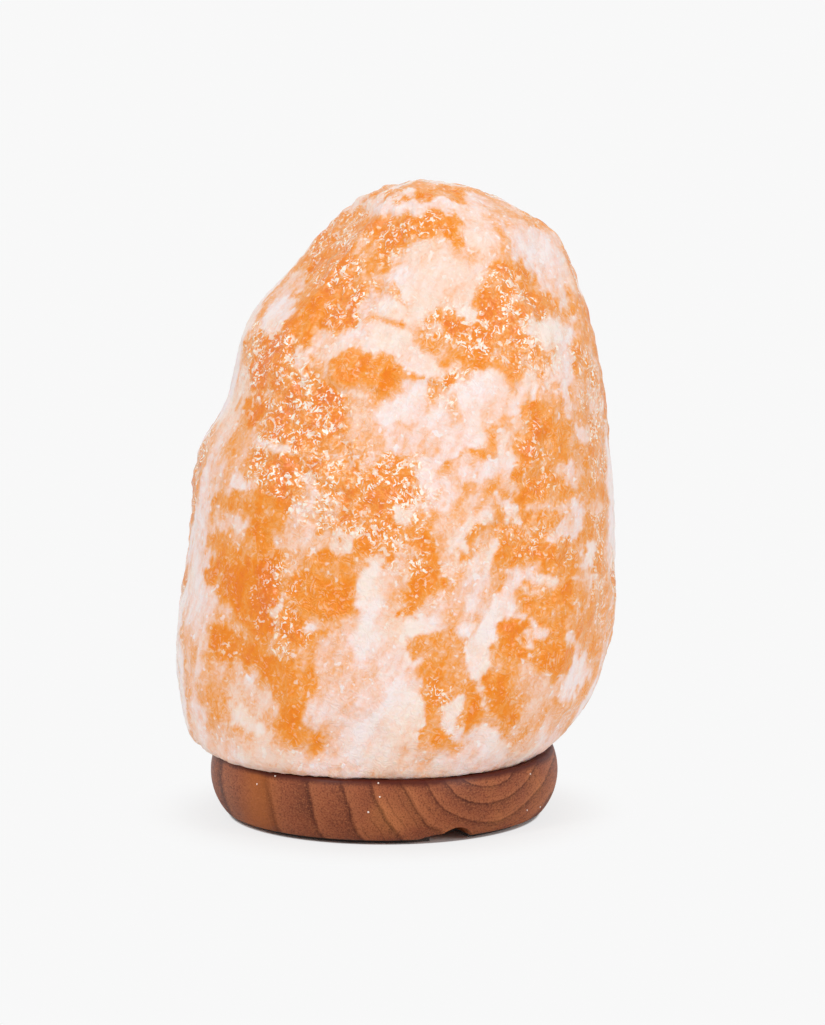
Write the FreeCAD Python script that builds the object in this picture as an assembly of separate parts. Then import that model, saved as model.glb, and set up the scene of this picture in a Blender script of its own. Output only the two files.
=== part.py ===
import FreeCAD, Part
import math
import os

# Salt crystal lamp: a hewn block of rock salt on a turned wooden foot, lit from inside by a small
# bulb whose spring-clipped holder pushes up through the foot.  Millimetres, +Z up.  The origin is
# on the table, on the axis of the foot; -Y is the front.

# ---------------------------------------------------------------- foot
FELT_T = 1.5             # felt ring under the foot
BASE_T = 21.5            # thickness of the turned foot
BASE_R = 60.0            # widest radius of the barrel-shaped rim
FOOT_DRAW = 5.0          # the rim draws in by this at the table
TOP_DRAW = 1.6           # and by this under the crystal
WIDEST_UP = 11.5         # height of the widest circle above the underside
FOOT_ROUND = 2.0         # rounding of the lower edge
TOP_ROUND = 1.2          # rounding of the upper edge
HOLE_R = 20.0            # hole that takes the lamp holder
FELT_INSET = 4.0         # the felt stops this far inside the edges of the underside

# groove under the foot that lets a cord out, 26 degrees to the right of the front
GROOVE_AZ = -64.0
GROOVE_HALF_W = 6.4
GROOVE_DEPTH = 4.0
SCOOP_R = 17.0           # worn, softened edge of the groove where it leaves the rim
SCOOP_DEPTH = 1.9
SCOOP_SIDE = 5.5
SCOOP_LENGTH = 13.0

# ---------------------------------------------------------------- screws that hold foot to crystal
SCREW_COUNT = 3
SCREW_R = 2.1
SCREW_HEAD_R = 4.0
SCREW_HEAD_H = 2.2
SCREW_L = 32.0
SCREW_HOLE_CLEAR = 0.2
COUNTERBORE_R = 4.8
COUNTERBORE_DEPTH = 7.0
SEAT_CLEAR = 0.05
PLUG_R = 4.0             # plastic plugs in the salt
PLUG_L = 22.0
PLUG_CLEAR = 0.1
PLUG_HOLE_EXTRA = 3.0    # the drilled hole runs on past the plug's tip

# ---------------------------------------------------------------- crystal
# One row per level: height above the sawn face, then the reach to the left, right, front and back
# of the foot's axis (left and front are negative).  They are the points that pull a smooth skin
# into shape, so the skin itself stays a little inside them.
CRYSTAL_LEVELS = (
    (0.0, -58.5, 56.0, -58.0, 56.0),
    (3.0, -68.5, 62.0, -61.5, 60.0),
    (12.0, -72.0, 69.5, -65.5, 65.0),
    (28.0, -73.0, 77.5, -67.5, 68.0),
    (46.0, -73.0, 82.5, -67.5, 69.0),
    (66.0, -68.5, 80.5, -65.0, 68.0),
    (87.0, -67.5, 80.5, -62.5, 65.5),
    (102.0, -67.5, 79.0, -60.5, 62.5),
    (118.0, -54.5, 78.0, -57.0, 59.5),
    (136.0, -51.5, 75.0, -52.0, 55.5),
    (152.0, -47.0, 70.5, -47.0, 50.0),
    (165.0, -32.0, 66.5, -41.0, 44.0),
    (180.0, -21.5, 59.5, -32.5, 36.0),
    (189.0, -12.0, 44.0, -22.0, 25.0),
    (196.3, 4.0, 23.0, -8.0, 10.0),
)
CRYSTAL_CROWN = (196.3, 13.5, 1.0)   # height, x and y of the summit
AROUND = 16              # points round each level
SQUARENESS = 0.035       # how far the corners between the four sides stand out
LUMP = 0.045             # shallow swells and hollows that wind round the block

# Flats left where pieces were split off: azimuth and tilt of the outward direction in degrees,
# and how deep the flat cuts below the block's furthest point that way.
FLATS = (
    (-150.0, 42.0, 4.0),
    (-118.0, 33.0, 3.2),
    (-84.0, 16.0, 2.6),
    (-38.0, 24.0, 3.6),
    (-128.0, 2.0, 3.2),
    (-62.0, 3.0, 3.0),
    (-28.0, -10.0, 2.6),
    (-100.0, -14.0, 2.4),
    (-146.0, -16.0, 2.8),
    (28.0, 8.0, 4.4),
    (62.0, 30.0, 5.2),
    (96.0, 10.0, 4.8),
    (132.0, 26.0, 5.4),
    (150.0, -8.0, 3.8),
    (74.0, -16.0, 4.2),
    (110.0, 62.0, 2.6),
)

# Shallow planes left by the hammer all over the block, on a spiral from the summit down.
HEWN_COUNT = 84
HEWN_LOWEST = -33.37     # degrees above level of the lowest plane's direction
HEWN_DEPTH = (0.55, 1.45)    # least and greatest depth below the block's furthest point
HEWN_STRAY = 7.0         # degrees a plane strays from the even spiral
HEWN_BATCH = 12          # planes that are taken off the block together
BORE_CLEAR = 3.0         # the bore in the salt is wider than the hole in the foot
BORE_DEPTH = 87.0        # from the sawn face to where the bore's blunt end begins to close
BORE_END_R = 11.0
BORE_END_H = 8.0

# ---------------------------------------------------------------- lamp holder
HOLDER_UP = 8.0          # underside of the holder above the table, room for a cord to bend
HOLDER_R = 11.5
CAP_T = 5.0
INLET_R = 3.2            # cable inlet through the holder's cap
SPIGOT_H = 4.0
SPIGOT_WALL = 1.6
FIT = 0.1                # sliding clearance between the holder's parts
CUP_WALL = 1.6
CUP_H = 25.5
CUP_LIP_R = 7.3
CUP_LIP_T = 1.6
SHOULDER = 1.3           # ledge inside the cup that the contact carrier is pressed against
CARRIER_T = 3.0
SHELL_T = 0.35
SHELL_CLEAR = 0.3        # bulb cap to screw shell, thread crest to thread crest
SHELL_H = 15.0
SHELL_FLOOR_R = 4.3      # the turned-in floor stops clear of the tongue's root
CONTACT_W = 3.0
CONTACT_T = 0.35
CONTACT_RISE = 1.8
CONTACT_ROOT = 2.8       # how far off centre the springy tongue is riveted
TERMINAL_X = 4.3         # middle of each terminal from the axis
TERMINAL_Y = -1.4
TERMINAL_L = 5.0
TERMINAL_W = 5.8
TERMINAL_T = 0.8
RIVET_R = 0.7
RIVET_CLEAR = 0.05
TERMINAL_SCREW_Y = -2.5  # the screw stands clear of the rivet, which is on y = 0
TERMINAL_SCREW_R = 1.0
TERMINAL_SCREW_HEAD_R = 1.7
TERMINAL_SCREW_HEAD_H = 1.3
TERMINAL_SCREW_L = 2.2   # shank above the terminal plate

# spring clip that grips the hole of the foot
CLIP_W = 10.0
CLIP_T = 0.6
CLIP_GAP = 0.25          # corners of the leaves to the wall of the hole
CLIP_BEND_R = 4.0
CLIP_BOW_R = 18.0
CLIP_ROOT_TURN = 60.0    # how far the leaf turns up from level before it bows
CLIP_END_GAP = 2.0       # free end of each leaf to the holder's side
CLIP_INLET_CLEAR = 1.0
CLIP_RIVET_X = 7.6
CLIP_RIVET_R = 1.0
CLIP_RIVET_HEAD_R = 1.9
CLIP_RIVET_HEAD_H = 0.9
CLIP_RIVET_L = 3.0

# ---------------------------------------------------------------- bulb: small screw cap, tube glass
BULB_L = 57.0
BULB_R = 11.1
BULB_CAP_R = 5.95
BULB_CAP_T = 0.3
BULB_CAP_UP = 1.7        # tip to the lower edge of the screw cap
BULB_CAP_CONE = 1.7
BULB_CAP_L = 14.0
BULB_MOUTH_R = 4.0
TIP_R = 1.9
TIP_H = 0.9
TIP_GAP = 0.3            # tip to the springy tongue under it
INSULATOR_NECK = 2.2
INSULATOR_H = 2.3
TURN_CLEAR = 0.1
NECK_R = 5.1
NECK_UP = 8.5            # tip to the lower end of the glass neck
NECK_OVER_CAP = 0.8
GLASS_T = 0.5
FLARE_R = 7.0
CEMENT_H = 6.0
CEMENT_CLEAR = 0.05
STEM_R = 1.8
STEM_TOP_UP = 26.0       # tip to the top of the stem
STEM_FOOT_H = 1.6
STEM_TAPER_H = 6.0
LEAD_R = 0.3
LEAD_IN_X = 1.2
LEAD_LOWER_GAP = 0.3
LEAD_RISE = 8.0
LEAD_POST = 4.0
FILAMENT_SPREAD = 5.0    # half the distance between the lead wires at the filament
FILAMENT_R = 0.25
SUPPORT_R = 0.2
SUPPORT_GAP = 0.05

# ---------------------------------------------------------------- places worked out from the sizes
Z_UNDER = FELT_T
Z_TOP = FELT_T + BASE_T
FOOT_R = BASE_R - FOOT_DRAW
RIM_TOP_R = BASE_R - TOP_DRAW
SCREW_RING_R = (HOLE_R + FOOT_R) / 2
BORE_R = HOLE_R + BORE_CLEAR
Z_CAP_TOP = HOLDER_UP + CAP_T
Z_CARRIER = Z_CAP_TOP + SPIGOT_H
Z_CARRIER_TOP = Z_CARRIER + CARRIER_T
CUP_IN_R = HOLDER_R - CUP_WALL
Z_TIP = Z_CARRIER_TOP + CONTACT_RISE + TIP_GAP
SHELL_IN_R = BULB_CAP_R + SHELL_CLEAR
OVERSHOOT = 1.0          # cutters stand proud of what they cut by this

UP = FreeCAD.Vector(0, 0, 1)


def vec(x, y, z):
    return FreeCAD.Vector(x, y, z)


def rod(radius, z_low, z_high, x=0.0, y=0.0):
    """Upright cylinder."""
    return Part.makeCylinder(radius, z_high - z_low, vec(x, y, z_low), UP)


def tube(r_out, r_in, z_low, z_high):
    """Upright tube on the lamp's axis."""
    return rod(r_out, z_low, z_high).cut(rod(r_in, z_low - OVERSHOOT, z_high + OVERSHOOT))


def cone(r_low, r_high, z_low, z_high, x=0.0, y=0.0):
    return Part.makeCone(r_low, r_high, z_high - z_low, vec(x, y, z_low), UP)


def line(p, q):
    """Straight edge in the XZ plane between (x, z) pairs."""
    return Part.makeLine(vec(p[0], 0, p[1]), vec(q[0], 0, q[1]))


def bow(p, middle, q):
    """Arc in the XZ plane through three (x, z) pairs."""
    points = [vec(x, 0, z) for x, z in (p, middle, q)]
    return Part.Arc(*points).toShape()


def round_at(centre, radius, turn):
    """The (x, z) point at an angle, in degrees from +X, on a circle in the XZ plane."""
    angle = math.radians(turn)
    return (centre[0] + radius * math.cos(angle), centre[1] + radius * math.sin(angle))


def arc_between(centre, radius, start, end):
    middle = round_at(centre, radius, (start + end) / 2)
    return bow(round_at(centre, radius, start), middle, round_at(centre, radius, end))


def turned(edges):
    """Solid of revolution about the lamp's axis of a closed outline in the XZ plane."""
    face = Part.Face(Part.Wire(Part.__sortEdges__(edges)))
    return face.revolve(vec(0, 0, 0), UP, 360)


def turned_polygon(points):
    closed = list(points) + [points[0]]
    return turned([line(p, q) for p, q in zip(closed, closed[1:])])


def along_groove(shape):
    """Turn something built along +X so that it lies along the cord groove."""
    turned_shape = shape.copy()
    turned_shape.rotate(vec(0, 0, 0), UP, GROOVE_AZ)
    return turned_shape


def screw_places():
    """Screw centres, with the groove midway between two of them."""
    step = 360.0 / SCREW_COUNT
    places = []
    for k in range(SCREW_COUNT):
        angle = math.radians(GROOVE_AZ + step / 2 + k * step)
        places.append((SCREW_RING_R * math.cos(angle), SCREW_RING_R * math.sin(angle)))
    return places


# ---------------------------------------------------------------- foot
def wood_base():
    low = (FOOT_R, Z_UNDER)
    wide = (BASE_R, Z_UNDER + WIDEST_UP)
    high = (RIM_TOP_R, Z_TOP)
    body = turned([
        line((HOLE_R, Z_UNDER), low),
        bow(low, wide, high),
        line(high, (HOLE_R, Z_TOP)),
        line((HOLE_R, Z_TOP), (HOLE_R, Z_UNDER)),
    ])
    for z, rounding in ((Z_UNDER, FOOT_ROUND), (Z_TOP, TOP_ROUND)):
        rim = [e for e in body.Edges if is_circle_at(e, z) and e.Curve.Radius > HOLE_R + OVERSHOOT]
        body = body.makeFillet(rounding, rim)
    body = body.cut(groove_cutter())
    z_seat = Z_UNDER + COUNTERBORE_DEPTH
    seat_r = SCREW_HEAD_R + SEAT_CLEAR
    neck_r = SCREW_R + SEAT_CLEAR
    for x, y in screw_places():
        body = body.cut(rod(COUNTERBORE_R, Z_UNDER - OVERSHOOT, z_seat, x, y))
        body = body.cut(cone(seat_r, neck_r, z_seat, z_seat + SCREW_HEAD_H, x, y))
        body = body.cut(rod(SCREW_R + SCREW_HOLE_CLEAR, z_seat, Z_TOP + OVERSHOOT, x, y))
    return body


def is_circle_at(edge, z):
    return isinstance(edge.Curve, Part.Circle) and abs(edge.Curve.Center.z - z) < 1e-6


def groove_cutter():
    """Round-topped channel from the hole to beyond the rim, and a shallow scoop beside its mouth."""
    radius = (GROOVE_HALF_W ** 2 + GROOVE_DEPTH ** 2) / (2 * GROOVE_DEPTH)
    z_axis = Z_UNDER + GROOVE_DEPTH - radius
    reach = BASE_R + OVERSHOOT
    along = vec(1, 0, 0)
    channel = Part.makeCylinder(radius, reach, vec(0, 0, z_axis), along)
    scoop_z = Z_UNDER + SCOOP_DEPTH - SCOOP_R
    scoop_from = vec(BASE_R - SCOOP_LENGTH, -SCOOP_SIDE, scoop_z)
    scoop = Part.makeCylinder(SCOOP_R, SCOOP_LENGTH + OVERSHOOT, scoop_from, along)
    return along_groove(channel.fuse(scoop))


def felt_ring():
    outer = FOOT_R - FELT_INSET
    ring = tube(outer, HOLE_R + FELT_INSET, 0.0, FELT_T)
    half_w = GROOVE_HALF_W + OVERSHOOT
    gap = Part.makeBox(outer + OVERSHOOT, 2 * half_w, FELT_T + 2 * OVERSHOOT, vec(0, -half_w, -OVERSHOOT))
    ring = ring.cut(along_groove(gap))
    for x, y in screw_places():
        ring = ring.cut(rod(COUNTERBORE_R + OVERSHOOT, -OVERSHOOT, FELT_T + OVERSHOOT, x, y))
    return ring


def base_screws():
    screws = []
    z_head = Z_UNDER + COUNTERBORE_DEPTH + SEAT_CLEAR
    for x, y in screw_places():
        head = cone(SCREW_HEAD_R, SCREW_R, z_head, z_head + SCREW_HEAD_H, x, y)
        tip_z = z_head + SCREW_L
        shank = rod(SCREW_R, z_head + SCREW_HEAD_H, tip_z - 2 * SCREW_R, x, y)
        point = cone(SCREW_R, SCREW_R / 8, tip_z - 2 * SCREW_R, tip_z, x, y)
        screws.append(head.fuse([shank, point]).removeSplitter())
    return Part.makeCompound(screws)


def wall_plugs():
    plugs = []
    for x, y in screw_places():
        body = rod(PLUG_R, Z_TOP, Z_TOP + PLUG_L, x, y)
        body = body.cut(rod(SCREW_R + SEAT_CLEAR, Z_TOP - OVERSHOOT, Z_TOP + PLUG_L + OVERSHOOT, x, y))
        plugs.append(body)
    return Part.makeCompound(plugs)


# ---------------------------------------------------------------- crystal
def level_point(level, k):
    """Pulling point k of a level: an oval with four separate reaches, squared and lumped."""
    height, left, right, front, back = level
    angle = 2 * math.pi * k / AROUND
    middle_x = (left + right) / 2
    middle_y = (front + back) / 2
    corner = 1 + SQUARENESS * (1 - math.cos(4 * angle)) / 2
    wave = math.sin(3 * angle + height / 31) * math.cos(angle - height / 47)
    swell = 1 + LUMP * wave * math.sin(angle) ** 2
    x = middle_x + (right - left) / 2 * math.cos(angle) * corner * swell
    y = middle_y + (back - front) / 2 * math.sin(angle) * corner * swell
    return vec(x, y, Z_TOP + height)


def crystal_skin():
    """Smooth cubic skin pulled by the levels, closed round the block and over its summit."""
    crown_z, crown_x, crown_y = CRYSTAL_CROWN
    summit = vec(crown_x, crown_y, Z_TOP + crown_z)
    poles = []
    for k in range(AROUND):
        poles.append([level_point(level, k) for level in CRYSTAL_LEVELS] + [summit])
    spans = len(CRYSTAL_LEVELS) + 1 - 3
    around_knots = [i / AROUND for i in range(AROUND + 1)]
    up_knots = [i / spans for i in range(spans + 1)]
    up_mults = [4] + [1] * (spans - 1) + [4]
    skin = Part.BSplineSurface()
    skin.buildFromPolesMultsKnots(
        poles, [1] * (AROUND + 1), up_mults, around_knots, up_knots, True, False, 3, 3)
    return skin


def rough_block():
    skin = crystal_skin()
    side = skin.toShape()
    rim = [e for e in side.Edges if abs(e.BoundBox.ZMax - Z_TOP) < 1e-6]
    sawn = Part.Face(Part.Wire(rim))
    return Part.Solid(Part.Shell([side, sawn.reversed()]))


def plane_off(solid, sides, points, size):
    """Cut one half space per side: azimuth and tilt of its direction, depth below the points."""
    for azimuth, tilt, depth in sides:
        a = math.radians(azimuth)
        t = math.radians(tilt)
        out = vec(math.cos(t) * math.cos(a), math.cos(t) * math.sin(a), math.sin(t))
        reach = max(out.dot(p) for p in points) - depth
        waste = Part.makeBox(4 * size, 4 * size, 2 * size, vec(-2 * size, -2 * size, 0))
        waste.Placement = FreeCAD.Placement(out * reach, FreeCAD.Rotation(UP, out))
        solid = solid.cut(waste)
    return solid


def split_off(block):
    """Cut the large flats where whole pieces were split off."""
    skin = crystal_skin()
    samples = [skin.value(i / 48, j / 48) for i in range(48) for j in range(49)]
    return plane_off(block, FLATS, samples, block.BoundBox.DiagonalLength)


def hewn_sides():
    """Directions on a golden-angle spiral, each strayed a little, and a depth for each."""
    turn = 180 * (3 - math.sqrt(5))
    span = 1 - math.sin(math.radians(HEWN_LOWEST))
    least, greatest = HEWN_DEPTH
    sides = []
    for k in range(HEWN_COUNT):
        up = 1 - span * (k + 0.5) / HEWN_COUNT
        azimuth = (k * turn) % 360 + HEWN_STRAY * math.sin(3.7 * k)
        depth = least + (greatest - least) * (1 + math.sin(2.4 * k)) / 2
        sides.append((azimuth, math.degrees(math.asin(up)), depth))
    return sides


def hew(block):
    """Take the shallow planes off in batches, each the common part of block and planed box."""
    sides = hewn_sides()
    points = block.tessellate(0.5)[0]
    size = block.BoundBox.DiagonalLength
    for first in range(0, HEWN_COUNT, HEWN_BATCH):
        box = Part.makeBox(size, size, size, vec(-size / 2, -size / 2, Z_TOP - size / 4))
        block = block.common(plane_off(box, sides[first:first + HEWN_BATCH], points, size))
    return block.Solids[0]


def salt_crystal():
    block = hew(split_off(rough_block()))
    z_shut = Z_TOP + BORE_DEPTH
    block = block.cut(rod(BORE_R, Z_TOP - OVERSHOOT, z_shut))
    block = block.cut(cone(BORE_R, BORE_END_R, z_shut, z_shut + BORE_END_H))
    hole_top = Z_TOP + max(PLUG_L, SCREW_L - BASE_T + COUNTERBORE_DEPTH) + PLUG_HOLE_EXTRA
    for x, y in screw_places():
        block = block.cut(rod(PLUG_R + PLUG_CLEAR, Z_TOP - OVERSHOOT, hole_top, x, y))
    return block


# ---------------------------------------------------------------- lamp holder
def holder_cap():
    cap = rod(HOLDER_R, HOLDER_UP, Z_CAP_TOP)
    spigot_r = CUP_IN_R - FIT
    cap = cap.fuse(tube(spigot_r, spigot_r - SPIGOT_WALL, Z_CAP_TOP, Z_CARRIER)).removeSplitter()
    cap = cap.cut(rod(INLET_R, HOLDER_UP - OVERSHOOT, Z_CAP_TOP + OVERSHOOT))
    for side in (-1, 1):
        hole_r = CLIP_RIVET_R + RIVET_CLEAR
        top = HOLDER_UP + CLIP_RIVET_L + RIVET_CLEAR
        cap = cap.cut(rod(hole_r, HOLDER_UP - OVERSHOOT, top, side * CLIP_RIVET_X))
    return cap


def holder_cup():
    z_rim = Z_CAP_TOP + CUP_H
    z_lip = z_rim - CUP_LIP_T
    inner = CUP_IN_R - SHOULDER
    return turned_polygon([
        (CUP_IN_R, Z_CAP_TOP),
        (HOLDER_R, Z_CAP_TOP),
        (HOLDER_R, z_rim),
        (CUP_LIP_R, z_rim),
        (CUP_LIP_R, z_lip),
        (inner, z_lip),
        (inner, Z_CARRIER_TOP),
        (CUP_IN_R, Z_CARRIER_TOP),
    ])


def contact_carrier():
    disc = rod(CUP_IN_R - FIT, Z_CARRIER, Z_CARRIER_TOP)
    for x in (-CONTACT_ROOT, shell_rivet_x()):
        disc = disc.cut(rod(RIVET_R + RIVET_CLEAR, Z_CARRIER - OVERSHOOT, Z_CARRIER_TOP + OVERSHOOT, x))
    for side in (-1, 1):
        top = Z_CARRIER + TERMINAL_SCREW_L + RIVET_CLEAR
        hole_r = TERMINAL_SCREW_R + RIVET_CLEAR
        disc = disc.cut(rod(hole_r, Z_CARRIER - OVERSHOOT, top, side * TERMINAL_X, TERMINAL_SCREW_Y))
    return disc


def shell_rivet_x():
    """The shell's rivet sits in the middle of its turned-in floor."""
    return (SHELL_FLOOR_R + SHELL_IN_R) / 2


def screw_shell():
    z_floor = Z_CARRIER_TOP
    outer = SHELL_IN_R + SHELL_T
    shell = turned_polygon([
        (SHELL_FLOOR_R, z_floor),
        (outer, z_floor),
        (outer, z_floor + SHELL_H),
        (SHELL_IN_R, z_floor + SHELL_H),
        (SHELL_IN_R, z_floor + SHELL_T),
        (SHELL_FLOOR_R, z_floor + SHELL_T),
    ])
    return shell.fuse(rod(RIVET_R, Z_CARRIER - TERMINAL_T, z_floor + SHELL_T, shell_rivet_x()))


def centre_contact():
    """Springy tongue: riveted flat on the carrier, it rises to the axis under the bulb's tip."""
    z = Z_CARRIER_TOP
    root = -CONTACT_ROOT
    half_w = CONTACT_W / 2
    top = z + CONTACT_RISE
    start = root + RIVET_R
    outline = Part.makePolygon([
        vec(root - RIVET_R, -half_w, z),
        vec(start, -half_w, z),
        vec(-RIVET_R, -half_w, top - CONTACT_T),
        vec(TIP_R, -half_w, top - CONTACT_T),
        vec(TIP_R, -half_w, top),
        vec(-RIVET_R - CONTACT_T / 2, -half_w, top),
        vec(start - CONTACT_T / 2, -half_w, z + CONTACT_T),
        vec(root - RIVET_R, -half_w, z + CONTACT_T),
        vec(root - RIVET_R, -half_w, z),
    ])
    tongue = Part.Face(outline).extrude(vec(0, CONTACT_W, 0))
    return tongue.fuse(rod(RIVET_R, Z_CARRIER - TERMINAL_T, z + CONTACT_T / 2, root))


def terminal(side, rivet_x):
    """Brass plate under the carrier, holed for its screw and for the rivet that feeds it."""
    x = side * TERMINAL_X
    corner = vec(x - TERMINAL_L / 2, TERMINAL_Y - TERMINAL_W / 2, Z_CARRIER - TERMINAL_T)
    plate = Part.makeBox(TERMINAL_L, TERMINAL_W, TERMINAL_T, corner)
    z_low = Z_CARRIER - TERMINAL_T - OVERSHOOT
    z_high = Z_CARRIER + OVERSHOOT
    plate = plate.cut(rod(TERMINAL_SCREW_R + RIVET_CLEAR, z_low, z_high, x, TERMINAL_SCREW_Y))
    return plate.cut(rod(RIVET_R + RIVET_CLEAR, z_low, z_high, rivet_x))


def terminal_screws():
    screws = []
    z_head = Z_CARRIER - TERMINAL_T
    y = TERMINAL_SCREW_Y
    for side in (-1, 1):
        x = side * TERMINAL_X
        head = rod(TERMINAL_SCREW_HEAD_R, z_head - TERMINAL_SCREW_HEAD_H, z_head, x, y)
        screws.append(head.fuse(rod(TERMINAL_SCREW_R, z_head, Z_CARRIER + TERMINAL_SCREW_L, x, y)))
    return Part.makeCompound(screws)


def spring_clip():
    """Steel strap under the cap whose two ends turn up into bowed leaves that grip the hole."""
    half_t = CLIP_T / 2
    reach = math.sqrt((HOLE_R - CLIP_GAP) ** 2 - (CLIP_W / 2) ** 2) - half_t
    turn = CLIP_ROOT_TURN - 90
    rise = math.cos(math.radians(turn))
    bend_x = reach - CLIP_BOW_R * (1 - rise) - CLIP_BEND_R * rise
    bend_c = (bend_x, HOLDER_UP - half_t + CLIP_BEND_R)
    joint = round_at(bend_c, CLIP_BEND_R, turn)
    bow_c = round_at(joint, CLIP_BOW_R, turn + 180)
    end_x = HOLDER_R + CLIP_END_GAP + half_t
    end_turn = math.degrees(math.acos((end_x - bow_c[0]) / CLIP_BOW_R))
    strips = []
    for side in (-1, 1):
        bend_out = arc_between(bend_c, CLIP_BEND_R + half_t, -90, turn)
        bow_out = arc_between(bow_c, CLIP_BOW_R + half_t, turn, end_turn)
        end_out = round_at(bow_c, CLIP_BOW_R + half_t, end_turn)
        end_in = round_at(bow_c, CLIP_BOW_R - half_t, end_turn)
        bow_in = arc_between(bow_c, CLIP_BOW_R - half_t, end_turn, turn)
        bend_in = arc_between(bend_c, CLIP_BEND_R - half_t, turn, -90)
        edges = [
            line((0, HOLDER_UP - CLIP_T), (bend_x, HOLDER_UP - CLIP_T)),
            bend_out,
            bow_out,
            line(end_out, end_in),
            bow_in,
            bend_in,
            line((bend_x, HOLDER_UP), (0, HOLDER_UP)),
            line((0, HOLDER_UP), (0, HOLDER_UP - CLIP_T)),
        ]
        strip = Part.Face(Part.Wire(edges)).extrude(vec(0, CLIP_W, 0))
        strip.translate(vec(0, -CLIP_W / 2, 0))
        if side < 0:
            strip.rotate(vec(0, 0, 0), UP, 180)
        strips.append(strip)
    clip = strips[0].fuse(strips[1]).removeSplitter()
    z_low = HOLDER_UP - CLIP_T - OVERSHOOT
    z_high = HOLDER_UP + OVERSHOOT
    clip = clip.cut(rod(INLET_R + CLIP_INLET_CLEAR, z_low, z_high))
    for side in (-1, 1):
        clip = clip.cut(rod(CLIP_RIVET_R + RIVET_CLEAR, z_low, z_high, side * CLIP_RIVET_X))
    return clip


def clip_rivets():
    rivets = []
    z_head = HOLDER_UP - CLIP_T
    for side in (-1, 1):
        x = side * CLIP_RIVET_X
        head = cone(CLIP_RIVET_HEAD_R / 2, CLIP_RIVET_HEAD_R, z_head - CLIP_RIVET_HEAD_H, z_head, x)
        rivets.append(head.fuse(rod(CLIP_RIVET_R, z_head, HOLDER_UP + CLIP_RIVET_L, x)))
    return Part.makeCompound(rivets)


# ---------------------------------------------------------------- bulb
def bulb_tip_contact():
    return turned([
        bow((0, Z_TIP), (TIP_R * 0.75, Z_TIP + TIP_H / 3), (TIP_R, Z_TIP + TIP_H)),
        line((TIP_R, Z_TIP + TIP_H), (0, Z_TIP + TIP_H)),
        line((0, Z_TIP + TIP_H), (0, Z_TIP)),
    ])


def bulb_insulator():
    z = Z_TIP + TIP_H
    wide = BULB_MOUTH_R - TURN_CLEAR
    slope_h = INSULATOR_H / 2
    return cone(INSULATOR_NECK, wide, z, z + slope_h).fuse(rod(wide, z + slope_h, z + INSULATOR_H))


def bulb_cap():
    z = Z_TIP + BULB_CAP_UP
    z_wide = z + BULB_CAP_CONE
    z_rim = z + BULB_CAP_L
    return turned_polygon([
        (BULB_MOUTH_R, z),
        (BULB_CAP_R, z_wide),
        (BULB_CAP_R, z_rim),
        (BULB_CAP_R - BULB_CAP_T, z_rim),
        (BULB_CAP_R - BULB_CAP_T, z_wide + BULB_CAP_T),
        (BULB_MOUTH_R, z + BULB_CAP_T),
    ])


def bulb_glass():
    """Tube glass: neck, a double bend that widens to the tube, and a round end."""
    z_neck = Z_TIP + NECK_UP
    z_flare = Z_TIP + BULB_CAP_UP + BULB_CAP_L + NECK_OVER_CAP
    turn = math.degrees(math.acos(1 - (BULB_R - NECK_R) / (2 * FLARE_R)))
    z_tube = z_flare + 2 * FLARE_R * math.sin(math.radians(turn))
    z_dome = Z_TIP + BULB_L - BULB_R
    hollow_c = (NECK_R + FLARE_R, z_flare)
    swell_c = (BULB_R - FLARE_R, z_tube)
    outer = glass_side(z_neck, hollow_c, FLARE_R, swell_c, FLARE_R, turn, z_dome, BULB_R)
    inner = glass_side(
        z_neck, hollow_c, FLARE_R + GLASS_T, swell_c, FLARE_R - GLASS_T, turn, z_dome, BULB_R - GLASS_T)
    mouth = line((NECK_R, z_neck), (NECK_R - GLASS_T, z_neck))
    crown = line((0, z_dome + BULB_R), (0, z_dome + BULB_R - GLASS_T))
    return turned(outer + [crown] + inner + [mouth])


def glass_side(z_neck, hollow_c, hollow_r, swell_c, swell_r, turn, z_dome, tube_r):
    """One side of the glass's wall, from the neck's end to the top on the axis."""
    neck_r = hollow_c[0] - hollow_r
    return [
        line((neck_r, z_neck), (neck_r, hollow_c[1])),
        arc_between(hollow_c, hollow_r, 180, 180 - turn),
        arc_between(swell_c, swell_r, -turn, 0),
        line((tube_r, swell_c[1]), (tube_r, z_dome)),
        arc_between((0, z_dome), tube_r, 0, 90),
    ]


def basing_cement():
    z_rim = Z_TIP + BULB_CAP_UP + BULB_CAP_L
    outer = BULB_CAP_R - BULB_CAP_T - CEMENT_CLEAR
    return tube(outer, NECK_R + CEMENT_CLEAR, z_rim - CEMENT_H, z_rim)


def bulb_stem():
    """Glass mount: a foot that seals the neck, tapering to the rod that carries the wires."""
    z = Z_TIP + NECK_UP
    foot_r = NECK_R - GLASS_T - CEMENT_CLEAR
    return turned_polygon([
        (0, z),
        (foot_r, z),
        (foot_r, z + STEM_FOOT_H),
        (STEM_R, z + STEM_FOOT_H + STEM_TAPER_H),
        (STEM_R, Z_TIP + STEM_TOP_UP),
        (0, Z_TIP + STEM_TOP_UP),
    ])


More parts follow.
